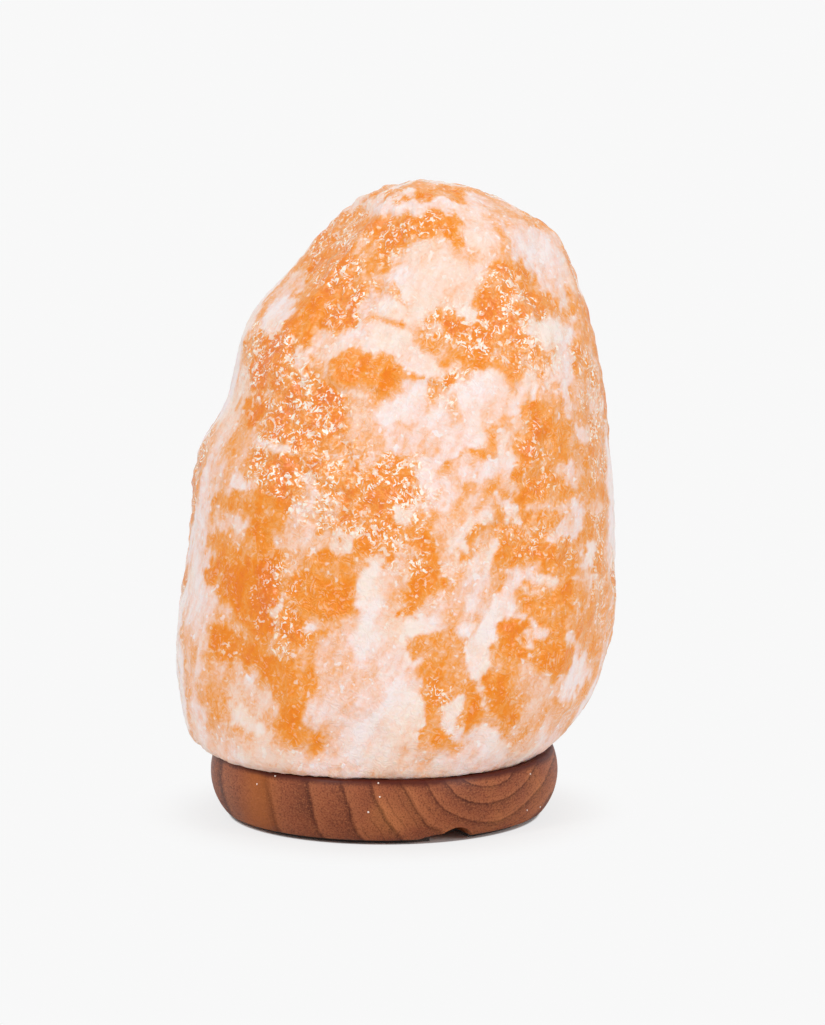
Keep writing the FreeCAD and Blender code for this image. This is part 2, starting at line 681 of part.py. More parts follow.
def lead_wires():
    wires = []
    z_stem = Z_TIP + STEM_TOP_UP
    z_low = Z_TIP + TIP_H + INSULATOR_H + LEAD_LOWER_GAP
    for side in (-1, 1):
        x = side * LEAD_IN_X
        wires.append(rod(LEAD_R, z_low, Z_TIP + NECK_UP, x))
        wide_x = side * FILAMENT_SPREAD
        start = vec(x, 0, z_stem)
        knee = vec(wide_x, 0, z_stem + LEAD_RISE)
        run = knee - start
        slant = Part.makeCylinder(LEAD_R, run.Length, start, run)
        below = rod(BULB_R, z_stem - 2 * LEAD_R, z_stem)
        upper = slant.cut(below)
        upper = upper.fuse(Part.makeSphere(LEAD_R, knee))
        upper = upper.fuse(rod(LEAD_R, knee.z, knee.z + LEAD_POST, wide_x))
        wires.append(upper)
    return Part.makeCompound(wires)


def filament_height():
    return Z_TIP + STEM_TOP_UP + LEAD_RISE + LEAD_POST


def filament():
    """Arch of coiled wire between the tops of the two lead wires."""
    z = filament_height()
    ring = Part.makeCircle(FILAMENT_R, vec(FILAMENT_SPREAD, 0, z), UP)
    disc = Part.Face(Part.Wire(ring))
    return disc.revolve(vec(0, 0, z), vec(0, -1, 0), 180)


def filament_support():
    top = filament_height() + FILAMENT_SPREAD - FILAMENT_R - SUPPORT_GAP
    return rod(SUPPORT_R, Z_TIP + STEM_TOP_UP, top)


def nodes():
    return {
        "salt_crystal": salt_crystal(),
        "wood_base": wood_base(),
        "felt_ring": felt_ring(),
        "base_screws": base_screws(),
        "wall_plugs": wall_plugs(),
        "holder_cup": holder_cup(),
        "holder_cap": holder_cap(),
        "contact_carrier": contact_carrier(),
        "screw_shell": screw_shell(),
        "centre_contact": centre_contact(),
        "live_terminal": terminal(-1, -CONTACT_ROOT),
        "neutral_terminal": terminal(1, shell_rivet_x()),
        "terminal_screws": terminal_screws(),
        "spring_clip": spring_clip(),
        "clip_rivets": clip_rivets(),
        "bulb_tip_contact": bulb_tip_contact(),
        "bulb_insulator": bulb_insulator(),
        "bulb_cap": bulb_cap(),
        "bulb_glass": bulb_glass(),
        "basing_cement": basing_cement(),
        "bulb_stem": bulb_stem(),
        "lead_wires": lead_wires(),
        "filament": filament(),
        "filament_support": filament_support(),
    }


os.makedirs("parts", exist_ok=True)
NODES = nodes()
for name, shape in NODES.items():
    shape.exportStep("parts/" + name + ".step")
    print(name, "solids", len(shape.Solids), "valid", shape.isValid(), "volume", round(shape.Volume, 1))
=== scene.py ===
# %% [markdown]
# # A salt crystal lamp, dressed for the camera
# The lamp is a hewn block of rock salt on a turned wooden foot. A small bulb in a spring-clipped
# holder pushes up through the foot into a bore in the salt. The CAD frame gives every size and
# every place; this lesson gives the skins and the finishes. We start by loading that frame.

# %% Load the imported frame
import math

import bmesh
import bpy
import numpy as np
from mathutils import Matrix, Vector


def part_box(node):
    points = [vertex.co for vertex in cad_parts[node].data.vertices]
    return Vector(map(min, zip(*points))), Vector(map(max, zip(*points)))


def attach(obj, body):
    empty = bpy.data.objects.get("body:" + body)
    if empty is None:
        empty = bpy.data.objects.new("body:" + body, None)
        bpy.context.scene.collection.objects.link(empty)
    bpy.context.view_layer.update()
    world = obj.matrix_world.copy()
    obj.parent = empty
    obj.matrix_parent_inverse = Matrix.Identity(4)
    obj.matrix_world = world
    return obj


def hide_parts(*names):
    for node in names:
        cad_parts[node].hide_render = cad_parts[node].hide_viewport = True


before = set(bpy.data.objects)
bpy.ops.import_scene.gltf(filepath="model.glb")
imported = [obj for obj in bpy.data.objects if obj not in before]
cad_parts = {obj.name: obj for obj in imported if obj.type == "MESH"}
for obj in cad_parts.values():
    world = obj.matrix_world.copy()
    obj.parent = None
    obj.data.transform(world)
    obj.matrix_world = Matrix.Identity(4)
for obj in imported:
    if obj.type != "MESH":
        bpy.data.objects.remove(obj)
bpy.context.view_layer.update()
MM = 0.001               # a millimetre in Blender's metres

# %% [markdown]
# ## Where the picture was taken from
# The photograph looks at the front of the lamp from about 1.6 m away and a little above it, with
# a long lens, so the block keeps its upright sides. A camera is a place, a point it looks at and
# a focal length. We keep them as numbers too, because later the white and orange patches of the
# salt are placed where the picture shows them.

# %% The camera
PICTURE = (825, 1025)                        # columns and rows of pixels
EYE = np.array([9.8, -1562.0, 346.0])        # in mm, like the next line
LOOK_AT = np.array([9.8, 0.0, 104.5])
FOCAL_PIXELS = 4598.0
SENSOR = 36.0


def new_object(name, data):
    """An object that shows a mesh, a camera or a light, linked into the scene."""
    thing = bpy.data.objects.new(name, data)
    bpy.context.scene.collection.objects.link(thing)
    return thing


camera_data = bpy.data.cameras.new("camera")
camera_data.sensor_width = SENSOR
camera_data.lens = FOCAL_PIXELS / PICTURE[1] * SENSOR
camera = new_object("camera", camera_data)
camera.location = Vector(EYE * MM)
camera.rotation_euler = Vector(LOOK_AT - EYE).to_track_quat("-Z", "Y").to_euler()
bpy.context.scene.camera = camera
print("lens", round(camera_data.lens, 1), "mm")


def in_picture(points):
    """Pixel column and row of points in mm: the offset across and down from the line of sight,
    times the focal length over the distance along it, counted from the picture's middle."""
    ahead = (LOOK_AT - EYE) / np.linalg.norm(LOOK_AT - EYE)
    across = np.cross(ahead, (0, 0, 1))
    across /= np.linalg.norm(across)
    up = np.cross(across, ahead)
    offset = points - EYE
    depth = offset @ ahead
    column = PICTURE[0] / 2 + FOCAL_PIXELS * (offset @ across) / depth
    row = PICTURE[1] / 2 - FOCAL_PIXELS * (offset @ up) / depth
    return column, row


# %% [markdown]
# ## Helpers for surfaces
# Each new piece is a sheet of points on a grid of rows and columns, worked out with numpy and
# closed where the real piece is closed. A grid is quick to make, its faces all point outward
# when rows and columns run the right way, and its formula says what the shape is.

# %% Grids into meshes
def grid_faces(rows, columns, wrap_columns=True, wrap_rows=False):
    """Four-sided faces between neighbouring grid points, joined round the ends where wrapped."""
    r = np.arange(rows if wrap_rows else rows - 1)
    c = np.arange(columns if wrap_columns else columns - 1)
    r, c = np.meshgrid(r, c, indexing="ij")
    r_next, c_next = (r + 1) % rows, (c + 1) % columns
    corners = (r * columns + c, r * columns + c_next, r_next * columns + c_next, r_next * columns + c)
    return np.stack(corners, axis=-1).reshape(-1, 4)


def closed_faces(rows, columns, inside_out=False):
    """Faces of a grid wrapped in its columns, and a fan round an extra point at either end: the
    points follow the grid's own, first the one before the first row."""
    ring = np.arange(columns)
    ahead = (ring + 1) % columns
    count = rows * columns
    last = count - columns
    first_fan = np.stack([np.full(columns, count), ahead, ring], axis=-1)
    last_fan = np.stack([np.full(columns, count + 1), last + ring, last + ahead], axis=-1)
    faces = [*grid_faces(rows, columns).tolist(), *first_fan.tolist(), *last_fan.tolist()]
    return [face[::-1] for face in faces] if inside_out else faces


def closed_points(sheet):
    """A grid's points and the middles of its first and last rows, as closed_faces needs them."""
    return np.concatenate([sheet.reshape(-1, 3), sheet[:1].mean(axis=1), sheet[-1:].mean(axis=1)])


def make_piece(name, points, faces, body, slot, material, stands_for=()):
    """A smooth mesh object from points in mm and faces as index rows, riding on its body."""
    mesh = bpy.data.meshes.new(name)
    mesh.from_pydata((np.asarray(points) * MM).tolist(), [], [tuple(f) for f in faces])
    mesh.validate()
    mesh.shade_smooth()
    mesh.materials.append(material)
    piece = new_object(name, mesh)
    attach(piece, body)
    if stands_for:
        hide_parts(*stands_for)
    print(name, len(points), "points,", len(faces), "faces")
    return piece


print("a closed grid of 3 rows and 4 columns has", len(closed_faces(3, 4)), "faces")

# %% [markdown]
# Split and hammered stone needs chance that repeats. The first function gives each small cube of
# space its own random value, and the second eases from one value to the next. Adding finer and
# finer copies gives a cloudy pattern. The fourth measures how far each point is from the nearest
# of many scattered seeds, which gives rounded bumps and scooped chips.

# %% Chance that repeats
def scramble(cells, seed):
    """A value from -1 to 1 for each whole-number cell, mixed from its three numbers."""
    mixed = cells[..., 0] * 374761393 + cells[..., 1] * 668265263 + cells[..., 2] * 1103515245
    mixed = (mixed + seed * 362437) & 0xFFFFFFFF
    mixed = ((mixed ^ (mixed >> 13)) * 1274126177) & 0xFFFFFFFF
    mixed = mixed ^ (mixed >> 16)
    return mixed / 0x7FFFFFFF - 1


def cloud(points, size, seed):
    """Random values at the corners of cubes of that size in mm, eased between them."""
    p = points / size
    cell = np.floor(p).astype(np.int64)
    f = p - cell
    f = f * f * f * (f * (f * 6 - 15) + 10)
    total = np.zeros(points.shape[:-1])
    for corner in np.ndindex(2, 2, 2):
        weight = np.prod(np.where(np.array(corner) == 1, f, 1 - f), axis=-1)
        total += weight * scramble(cell + np.array(corner), seed)
    return total


def clouds(points, size, seed, octaves=4):
    """Clouds added up, each half as large and half as strong as the last."""
    return sum(cloud(points, size / 2 ** k, seed + 17 * k) / 2 ** k for k in range(octaves))


def seed_distance(points, size, seed):
    """Distance to the nearest of the seeds, one in each cube of that size, as a share of it."""
    p = points / size
    cell = np.floor(p).astype(np.int64)
    nearest = np.full(points.shape[:-1], np.inf)
    for step in np.ndindex(3, 3, 3):
        at = cell + np.array(step) - 1
        place = np.stack([scramble(at, seed + k) * 0.5 + 0.5 for k in range(3)], axis=-1)
        nearest = np.minimum(nearest, np.linalg.norm(at + place - p, axis=-1))
    return nearest


def ease(low, high, value):
    """0 below low, 1 above high, with a smooth rise between them."""
    t = np.clip((value - low) / (high - low), 0, 1)
    return t * t * (3 - 2 * t)


print("a cloud at two places", cloud(np.array([[0.0, 0.0, 0.0], [1.0, 2.0, 3.0]]), 4.0, 1).round(2))

# %% [markdown]
# ## Helpers for finishes
# A material is a small network of nodes. Colours are written as on a paint chart, in sRGB hex,
# and one function turns them into the linear light that the renderer works in. Another adds a
# node, sets what is the same everywhere and links what varies.

# %% Colours and nodes
def linear(hex_colour):
    """sRGB hex to linear red, green, blue and 1: low values over 12.92, the rest by a power."""
    value = np.array([int(hex_colour[i:i + 2], 16) for i in (1, 3, 5)]) / 255
    light = np.where(value <= 0.04045, value / 12.92, ((value + 0.055) / 1.055) ** 2.4)
    return (*light.tolist(), 1.0)


def feed(node, sockets):
    """Each socket, by its name or number, gets its value or a link from the socket that feeds it."""
    for key, value in sockets.items():
        if isinstance(value, bpy.types.NodeSocket):
            node.id_data.links.new(value, node.inputs[key])
        else:
            node.inputs[key].default_value = value


def add(tree, kind, *feeds, out=None, stops=(), **settings):
    """One node, given by its output called out or else by the first in use. feeds go in order to
    the inputs in use; in settings, an input's name feeds that input and any other name is the
    node's own property. stops are (place, hex colour) pairs of a colour ramp."""
    node = tree.nodes.new("ShaderNode" + kind)
    named = {key: value for key, value in settings.items() if key in node.inputs}
    for key, value in settings.items():
        if key not in named:
            setattr(node, key, value)
    in_use = [number for number, socket in enumerate(node.inputs) if socket.enabled]
    feed(node, dict(zip(in_use, feeds)) | named)
    for number, (place, colour) in enumerate(stops):
        elements = node.color_ramp.elements
        element = elements[number] if number < 2 else elements.new(1.0)
        element.position = place
        element.color = linear(colour)
    return node.outputs[out] if out else next(socket for socket in node.outputs if socket.enabled)


def blank(name):
    """A new material: its node tree and its main shader, already joined to the output."""
    material = bpy.data.materials.new(name)
    material.use_nodes = True
    tree = material.node_tree
    return material, tree, tree.nodes["Principled BSDF"]


print("middle grey is", round(linear("#808080")[0], 3), "in linear light")

# %% [markdown]
# ## The block of salt: its skin
# The real block is split from a mine face and roughly dressed with a hammer, so it is a smooth
# lump with a few flats, and its surface is covered in small scoops and wet-looking bumps. It
# could be sculpted by hand or remeshed from the CAD solid. We lay a grid of directions round a
# point inside the CAD block instead, and let a projection find where each direction leaves the
# block: the form is then the CAD one, on a regular grid that takes fine relief.

# %% Find the outside of the CAD block on a grid
COLUMNS = 400
SKIN_ROWS = 224
HEART = np.array([5.0, 0.0, 110.0])
FRONT_BIAS = 0.22        # draws the columns together towards the front, in radians
SAWN_BAND = 0.02         # corners this close to the lowest one lie on the sawn underside
INSIDE_RIM = 45.0        # and the sawn outline is further out than this, past bore and holes
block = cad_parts["salt_crystal"]
corners = np.zeros(len(block.data.vertices) * 3, np.float32)
block.data.vertices.foreach_get("co", corners)
corners = corners.reshape(-1, 3) / MM
Z_SAWN = corners[:, 2].min()

turn = np.linspace(0, 2 * np.pi, COLUMNS, endpoint=False)
azimuth = turn - np.pi / 2 - FRONT_BIAS * np.sin(turn)
sawn = corners[:, 2] < Z_SAWN + SAWN_BAND
on_rim = corners[sawn & (np.hypot(corners[:, 0], corners[:, 1]) > INSIDE_RIM)]
rim_angle = np.arctan2(on_rim[:, 1] - HEART[1], on_rim[:, 0] - HEART[0])
rim_reach = np.hypot(on_rim[:, 0] - HEART[0], on_rim[:, 1] - HEART[1])
order = np.argsort(rim_angle)
reach = np.interp(azimuth, rim_angle[order], rim_reach[order], period=2 * np.pi)
lowest = np.arctan2(Z_SAWN - HEART[2], reach)
share = np.linspace(0, 1, SKIN_ROWS + 1)[1:, None]
tilt = np.pi / 2 + (lowest[None, :] - np.pi / 2) * share
outward = np.stack([np.cos(tilt) * np.cos(azimuth), np.cos(tilt) * np.sin(azimuth), np.sin(tilt)], axis=-1)
print("sawn edge from", round(reach.min(), 1), "to", round(reach.max(), 1), "mm off the heart")

# %% [markdown]
# The grid starts as a ball that is larger than the block. A Shrinkwrap modifier carries each
# point inward until it meets the block, and the result is read back into numpy.

# %% Shrink a ball of directions onto the block
BALL = 160.0             # its radius in mm
ball_mesh = bpy.data.meshes.new("ball")
ball_points = HEART + outward.reshape(-1, 3) * BALL
ball_top = HEART + np.array([[0.0, 0.0, BALL]])
ball_faces = grid_faces(SKIN_ROWS, COLUMNS)[:, ::-1].tolist()
ball_mesh.from_pydata((np.vstack([ball_points, ball_top]) * MM).tolist(), [], ball_faces)
ball = new_object("ball", ball_mesh)
wrap = ball.modifiers.new("wrap", "SHRINKWRAP")
wrap.target = block
wrap.wrap_method = "PROJECT"
wrap.use_negative_direction = True
wrap.use_positive_direction = False
shrunk = ball.evaluated_get(bpy.context.evaluated_depsgraph_get())
wrapped = shrunk.to_mesh()
flat = np.zeros(len(wrapped.vertices) * 3, np.float32)
wrapped.vertices.foreach_get("co", flat)
skin = flat.reshape(-1, 3)[:-1].reshape(SKIN_ROWS, COLUMNS, 3).astype(float) / MM
shrunk.to_mesh_clear()
bpy.data.objects.remove(ball)
missed = np.linalg.norm(skin - HEART, axis=-1) > BALL - 1
print("points that missed the block:", int(missed.sum()), "mostly on the last row")

# %% [markdown]
# The last row is set on the sawn edge itself, and a little smoothing takes the stair steps off
# the edges of the flats, as wear does. Then each point's outward direction is found from its
# neighbours on the grid.

# %% Ease the skin and find its outward directions
EASINGS = 2
skin[-1] = HEART + outward[-1] * (reach / np.cos(lowest))[:, None]
for _ in range(EASINGS):
    level = (np.roll(skin, 1, axis=1) + np.roll(skin, -1, axis=1)) / 4 + skin / 2
    skin[1:-1] = (level[:-2] + level[2:]) / 4 + level[1:-1] / 2


def outward_of(sheet):
    """Unit normals of a grid wrapped in its columns: along the columns crossed with down the rows."""
    along = np.roll(sheet, -1, axis=1) - np.roll(sheet, 1, axis=1)
    down = np.gradient(sheet, axis=0)
    n = np.cross(down, along)
    return n / np.maximum(np.linalg.norm(n, axis=-1, keepdims=True), 1e-9)


normal = outward_of(skin)
CROWN_ROWS = 5           # rows round the summit that share one direction
summit_way = normal[CROWN_ROWS].mean(axis=0)
normal[:CROWN_ROWS] = summit_way / np.linalg.norm(summit_way)
print("block spans", skin.reshape(-1, 3).min(0).round(1), skin.reshape(-1, 3).max(0).round(1))

# %% [markdown]
# ## The block of salt: its colours
# Rock salt of this kind is clear to orange where it is pure and white where the grains are
# broken or mixed with other minerals. The front is painted with strokes placed one by one in the
# photograph: each is a line between two pixels, half its width at both ends, and a tone from
# -0.3 (deep orange) over 0 (orange), 0.25 (light orange) and 0.5 (peach) to 1 (pinkish white).
# A texture of the photograph would be quicker, but it would hold its lights and shadows too.
# The strokes' edges are broken up by clouds, so that they end as ragged as real veins.

# %% Strokes on the crown and the upper part
GROUND = (
    (196, 470, 200, 640, 15, 17, 0.78), (388, 590, 350, 706, 24, 38, 0.74),
    (405, 700, 384, 752, 24, 24, 0.88), (474, 478, 446, 640, 26, 22, 0.6),
    (440, 404, 484, 402, 36, 30, 0.84), (600, 262, 606, 420, 9, 9, 0.74),
    (612, 560, 600, 700, 9, 11, 0.66), (520, 226, 566, 262, 18, 22, 0.74),
    (228, 400, 206, 460, 10, 12, 0.72), (190, 640, 204, 740, 10, 12, 0.6),
    (560, 640, 540, 720, 24, 22, 0.42), (440, 640, 452, 730, 20, 22, 0.3),
)
CROWN = (
    (372, 196, 472, 190, 8, 8, 0.12), (340, 207, 400, 204, 4, 5, 0.85), (400, 204, 462, 209, 5, 5, 0.9),
    (365, 222, 450, 230, 11, 12, 0.0), (335, 250, 318, 285, 18, 20, 0.1),
    (310, 300, 342, 318, 18, 14, 0.05), (345, 260, 348, 340, 10, 9, 0.05),
    (474, 212, 488, 240, 13, 12, 0.75), (470, 262, 484, 246, 16, 16, 0.72),
    (382, 290, 440, 284, 17, 26, 0.85), (372, 310, 425, 306, 10, 14, 0.82),
    (395, 258, 440, 250, 6, 10, 0.7), (392, 286, 408, 300, 3, 3, 0.3), (376, 286, 382, 292, 5, 4, 0.45),
    (368, 317, 404, 321, 3, 3, 0.15), (503, 212, 535, 220, 7, 8, 0.42), (505, 235, 500, 250, 6, 5, 0.4),
    (532, 247, 553, 268, 16, 17, 0.97), (556, 290, 562, 300, 8, 6, 0.85), (502, 266, 512, 280, 8, 12, 0.0),
    (528, 288, 552, 304, 10, 7, 0.08), (490, 300, 516, 326, 17, 20, -0.1),
    (456, 322, 500, 345, 12, 20, -0.02), (434, 324, 446, 326, 4, 6, 0.05),
    (472, 356, 512, 362, 14, 12, 0.1), (459, 310, 472, 312, 4, 4, 0.9), (434, 330, 436, 332, 7, 6, 0.85),
    (517, 300, 521, 296, 4, 4, 0.8), (540, 326, 562, 334, 12, 16, 0.97), (566, 350, 562, 376, 9, 9, 0.85),
    (576, 352, 594, 386, 6, 8, 0.25), (583, 310, 590, 330, 4, 4, 0.4), (520, 372, 545, 380, 10, 10, 0.4),
)
LEFT_SHOULDER = (
    (286, 300, 264, 330, 11, 5, 0.92), (274, 286, 296, 280, 8, 10, 0.6),
    (265, 350, 300, 345, 13, 15, -0.12), (290, 328, 322, 322, 9, 9, 0.0), (250, 352, 262, 350, 8, 8, 0.05),
    (264, 380, 306, 378, 16, 17, -0.08), (256, 415, 290, 428, 15, 15, -0.1),
    (300, 402, 330, 422, 15, 19, -0.05), (325, 392, 338, 396, 10, 11, -0.15),
    (322, 342, 350, 335, 10, 8, 0.72), (308, 352, 304, 370, 4, 4, 0.78), (326, 350, 338, 362, 7, 4, 0.75),
    (350, 362, 394, 372, 13, 15, 0.03), (338, 358, 352, 368, 7, 8, 0.0), (402, 367, 421, 370, 4, 4, 0.05),
    (434, 382, 456, 380, 6, 7, 0.08), (366, 333, 402, 338, 10, 9, 0.92), (402, 345, 430, 364, 11, 8, 0.86),
    (428, 352, 440, 372, 6, 7, 0.8), (338, 386, 362, 393, 5, 4, 0.65), (350, 408, 374, 440, 13, 17, 0.46),
    (386, 412, 420, 402, 11, 14, 0.88), (392, 436, 418, 440, 11, 11, 0.78),
    (438, 390, 452, 402, 8, 8, 0.55), (240, 372, 246, 392, 6, 6, 0.75), (228, 400, 212, 438, 9, 12, 0.7),
    (206, 446, 198, 474, 10, 8, 0.78),
)
print(len(CROWN) + len(LEFT_SHOULDER), "strokes above the middle")

# %% [markdown]
# The middle of the block holds the largest contrast: a dense orange flank on the left, pale
# streaks that run down to the left through the centre, and a smoother orange face on the right
# with a straight pale edge, where the block split along a cleavage plane.

# %% Strokes on the middle
LEFT_FLANK = (
    (262, 442, 286, 446, 4, 5, 0.78), (262, 462, 318, 470, 13, 13, -0.1),
    (262, 486, 300, 502, 11, 12, 0.05), (336, 482, 400, 500, 18, 20, 0.03),
    (392, 466, 412, 482, 11, 12, 0.06), (352, 522, 392, 532, 15, 16, 0.06),
    (310, 476, 290, 536, 6, 8, 0.72), (234, 478, 247, 483, 5, 6, 0.88), (214, 500, 250, 500, 8, 9, 0.12),
    (257, 512, 266, 552, 10, 11, 0.04), (212, 540, 226, 560, 8, 9, 0.2), (227, 523, 244, 526, 6, 7, 0.72),
    (282, 540, 305, 534, 5, 6, 0.62), (306, 545, 346, 541, 5, 5, 0.66), (336, 545, 351, 535, 5, 6, 0.93),
    (364, 548, 392, 534, 12, 12, 0.03), (196, 522, 198, 560, 8, 7, 0.9), (214, 478, 222, 488, 6, 6, 0.45),
    (404, 514, 420, 512, 5, 8, 0.9), (300, 440, 340, 452, 8, 10, 0.02), (344, 462, 362, 458, 6, 6, 0.4),
)
CENTRE = (
    (474, 394, 478, 440, 11, 11, 1.0), (462, 432, 440, 456, 11, 9, 0.97),
    (424, 470, 440, 500, 13, 12, 0.82), (463, 453, 482, 456, 4, 4, 0.22), (446, 470, 468, 480, 7, 5, 0.45),
    (504, 428, 511, 500, 8, 8, 0.84), (470, 478, 494, 470, 8, 9, 0.96), (508, 500, 521, 522, 6, 4, 0.9),
    (523, 386, 501, 420, 5, 5, 0.82), (503, 430, 506, 424, 3, 3, 0.3), (468, 490, 470, 495, 5, 4, 0.2),
    (444, 516, 466, 500, 5, 5, 0.4), (418, 514, 420, 532, 6, 5, 0.28), (495, 494, 512, 495, 6, 5, 0.25),
    (501, 497, 503, 501, 3, 3, 0.9), (505, 536, 542, 546, 15, 14, 0.13), (424, 544, 430, 566, 7, 8, 0.08),
    (393, 545, 402, 566, 7, 8, 0.04), (483, 511, 452, 552, 5, 7, 0.92), (492, 545, 469, 592, 5, 9, 0.86),
    (521, 569, 495, 616, 5, 9, 0.93), (446, 585, 456, 606, 9, 9, 0.55), (404, 552, 400, 580, 4, 5, 0.7),
    (440, 530, 446, 560, 5, 5, 0.55), (462, 556, 480, 530, 3, 4, 0.2),
)
RIGHT_FACE = (
    (541, 412, 536, 446, 12, 12, -0.02), (566, 430, 590, 482, 26, 20, 0.2),
    (540, 478, 562, 492, 16, 13, 0.14), (590, 420, 602, 462, 10, 7, 0.2), (577, 420, 587, 435, 4, 5, 0.86),
    (568, 468, 571, 484, 5, 4, 0.74), (562, 382, 567, 408, 8, 6, 0.87), (592, 392, 594, 408, 6, 6, 0.7),
    (580, 392, 584, 402, 4, 4, 0.25), (533, 382, 535, 398, 4, 3, 0.85),
    (530, 508, 608, 511, 2.4, 2.4, 0.6), (596, 526, 601, 562, 14, 13, 0.2),
    (550, 518, 560, 540, 8, 9, 0.12), (578, 502, 572, 532, 3, 6, 0.86), (588, 540, 586, 560, 5, 5, 0.93),
    (556, 536, 568, 520, 3, 2, 0.86), (538, 546, 548, 560, 6, 6, -0.08), (549, 578, 551, 592, 7, 5, 1.0),
    (562, 585, 576, 580, 3, 5, 0.92), (534, 568, 536, 574, 4, 4, 0.78), (528, 586, 531, 593, 3, 4, 0.74),
    (520, 632, 572, 602, 22, 22, 0.14), (602, 588, 600, 630, 9, 11, 0.34), (595, 574, 595, 582, 2, 2, 0.9),
)
print(len(LEFT_FLANK) + len(CENTRE) + len(RIGHT_FACE), "strokes on the middle")

# %% [markdown]
# Near the foot a broad white vein and a narrow, upright one stand in orange salt, and the
# lowest centimetre or so is pinkish white all round, where the block was bruised by the saw.

# %% Strokes on the lower part
LOWER_LEFT = (
    (194, 566, 200, 616, 7, 7, 0.88), (224, 576, 240, 602, 13, 15, -0.05),
    (256, 580, 264, 622, 17, 17, -0.15), (224, 642, 252, 655, 15, 14, -0.08),
    (302, 590, 336, 600, 16, 18, -0.02), (290, 620, 310, 642, 14, 13, -0.02),
    (283, 596, 274, 660, 2, 3, 0.5), (303, 632, 309, 626, 5, 4, 0.88), (274, 612, 281, 606, 4, 4, 0.8),
    (251, 682, 252, 686, 4, 4, 0.9), (283, 692, 285, 696, 4, 3, 0.85), (296, 663, 298, 666, 3, 3, 0.85),
    (184, 680, 186, 722, 5, 5, 0.35), (190, 650, 196, 664, 6, 6, 0.55), (194, 702, 200, 722, 7, 6, 0.85),
    (213, 686, 222, 732, 12, 9, 0.3), (236, 690, 258, 696, 9, 8, 0.58), (238, 716, 256, 724, 9, 9, 0.97),
    (274, 668, 285, 700, 14, 11, -0.05), (284, 702, 292, 742, 12, 11, 0.1),
    (301, 660, 310, 688, 11, 9, 0.08), (330, 662, 362, 684, 20, 22, 0.62), (326, 642, 346, 636, 9, 9, 0.6),
    (373, 575, 368, 640, 12, 12, 1.0), (358, 640, 366, 656, 11, 13, 0.95),
    (350, 700, 384, 690, 11, 12, 0.74), (318, 716, 344, 736, 13, 13, 0.88),
    (358, 742, 378, 756, 15, 13, 0.97), (395, 700, 412, 720, 15, 15, 0.98),
    (390, 676, 408, 664, 8, 10, 0.9),
)
LOWER_RIGHT = (
    (412, 606, 430, 580, 9, 11, -0.02), (413, 648, 425, 640, 5, 5, 0.08), (416, 628, 440, 622, 7, 7, 0.97),
    (404, 632, 400, 662, 5, 6, 0.86), (430, 700, 436, 730, 7, 7, 0.22), (444, 648, 436, 694, 10, 13, 0.2),
    (458, 650, 464, 692, 10, 11, 0.26), (452, 722, 442, 742, 10, 9, 0.16),
    (460, 702, 476, 716, 11, 9, 0.12), (502, 642, 562, 652, 17, 22, 0.1),
    (576, 620, 586, 650, 15, 13, 0.22), (500, 605, 490, 622, 8, 7, 0.96), (485, 620, 482, 664, 8, 9, 1.0),
    (482, 664, 490, 686, 9, 5, 1.0), (488, 690, 486, 704, 3, 3, 0.95), (462, 626, 466, 632, 6, 5, 0.95),
    (472, 602, 478, 608, 6, 6, 0.85), (462, 700, 448, 716, 4, 6, 0.92), (448, 720, 466, 740, 6, 5, 0.92),
    (500, 690, 510, 716, 12, 9, 0.0), (470, 688, 476, 700, 7, 7, 0.12), (520, 674, 546, 690, 9, 12, 0.5),
    (534, 710, 560, 720, 12, 9, 0.5), (578, 670, 573, 698, 10, 8, 0.97), (568, 640, 582, 660, 4, 5, 0.78),
    (598, 664, 590, 692, 3, 3, 0.35), (580, 708, 570, 728, 3, 3, 0.4), (418, 728, 424, 760, 5, 5, 0.2),
    (480, 740, 502, 750, 12, 11, 0.82), (488, 736, 496, 744, 6, 6, 0.95), (524, 734, 530, 739, 4, 4, 0.25),
    (544, 732, 556, 728, 8, 7, 0.55), (479, 762, 481, 765, 3, 3, 0.15), (512, 618, 520, 620, 4, 3, 0.8),
    (532, 626, 538, 636, 4, 5, 0.82), (526, 642, 530, 646, 3, 3, 0.8),
)
strokes = np.array(GROUND + CROWN + LEFT_SHOULDER + LEFT_FLANK + CENTRE + RIGHT_FACE
                   + LOWER_LEFT + LOWER_RIGHT)
print(len(strokes), "strokes in all")

# %% [markdown]
# The sides and the back have no photograph, so their tone is clouds: large ones for the zones
# and long leaning ones for veins. Both tones are mixed by how squarely the surface faces the
# picture's point of view, so no stroke is smeared along the sides.

# %% Helpers for strokes and leaning veins
EDGE = 1.5               # half the soft edge of the thinnest stroke, in pixels
EDGE_SHARE = 0.24        # and what each pixel of a stroke's half width adds to it
GROWN = 1.2              # how far every stroke runs on under its soft edge, in pixels
SLANT = 0.5              # how far a streak leans to the side for each mm that it rises,
SQUEEZE = 1.5            # what a plain cloud's width is divided by,
STRETCH = 0.42           # and what its length is divided by


def stroke_share(column, row, stroke):
    """1 inside a stroke, 0 outside: the distance to its line against a half width that changes
    evenly from end to end, with an edge that is softer on a wider stroke."""
    x0, y0, x1, y1, wide0, wide1, _ = stroke
    dx, dy = x1 - x0, y1 - y0
    t = np.clip(((column - x0) * dx + (row - y0) * dy) / (dx * dx + dy * dy), 0, 1)
    away = np.hypot(column - x0 - t * dx, row - y0 - t * dy)
    wide = wide0 + (wide1 - wide0) * t + GROWN
    edge = EDGE + EDGE_SHARE * wide
    return 1 - ease(-edge, edge, away - wide)


def lean(points):
    """Space squeezed across a slanting direction and drawn out along it, so that clouds in it
    become leaning streaks."""
    x, y, z = points[..., 0], points[..., 1], points[..., 2]
    return np.stack([SQUEEZE * (x - SLANT * z), SQUEEZE * y, STRETCH * (z + SLANT * x)], axis=-1)


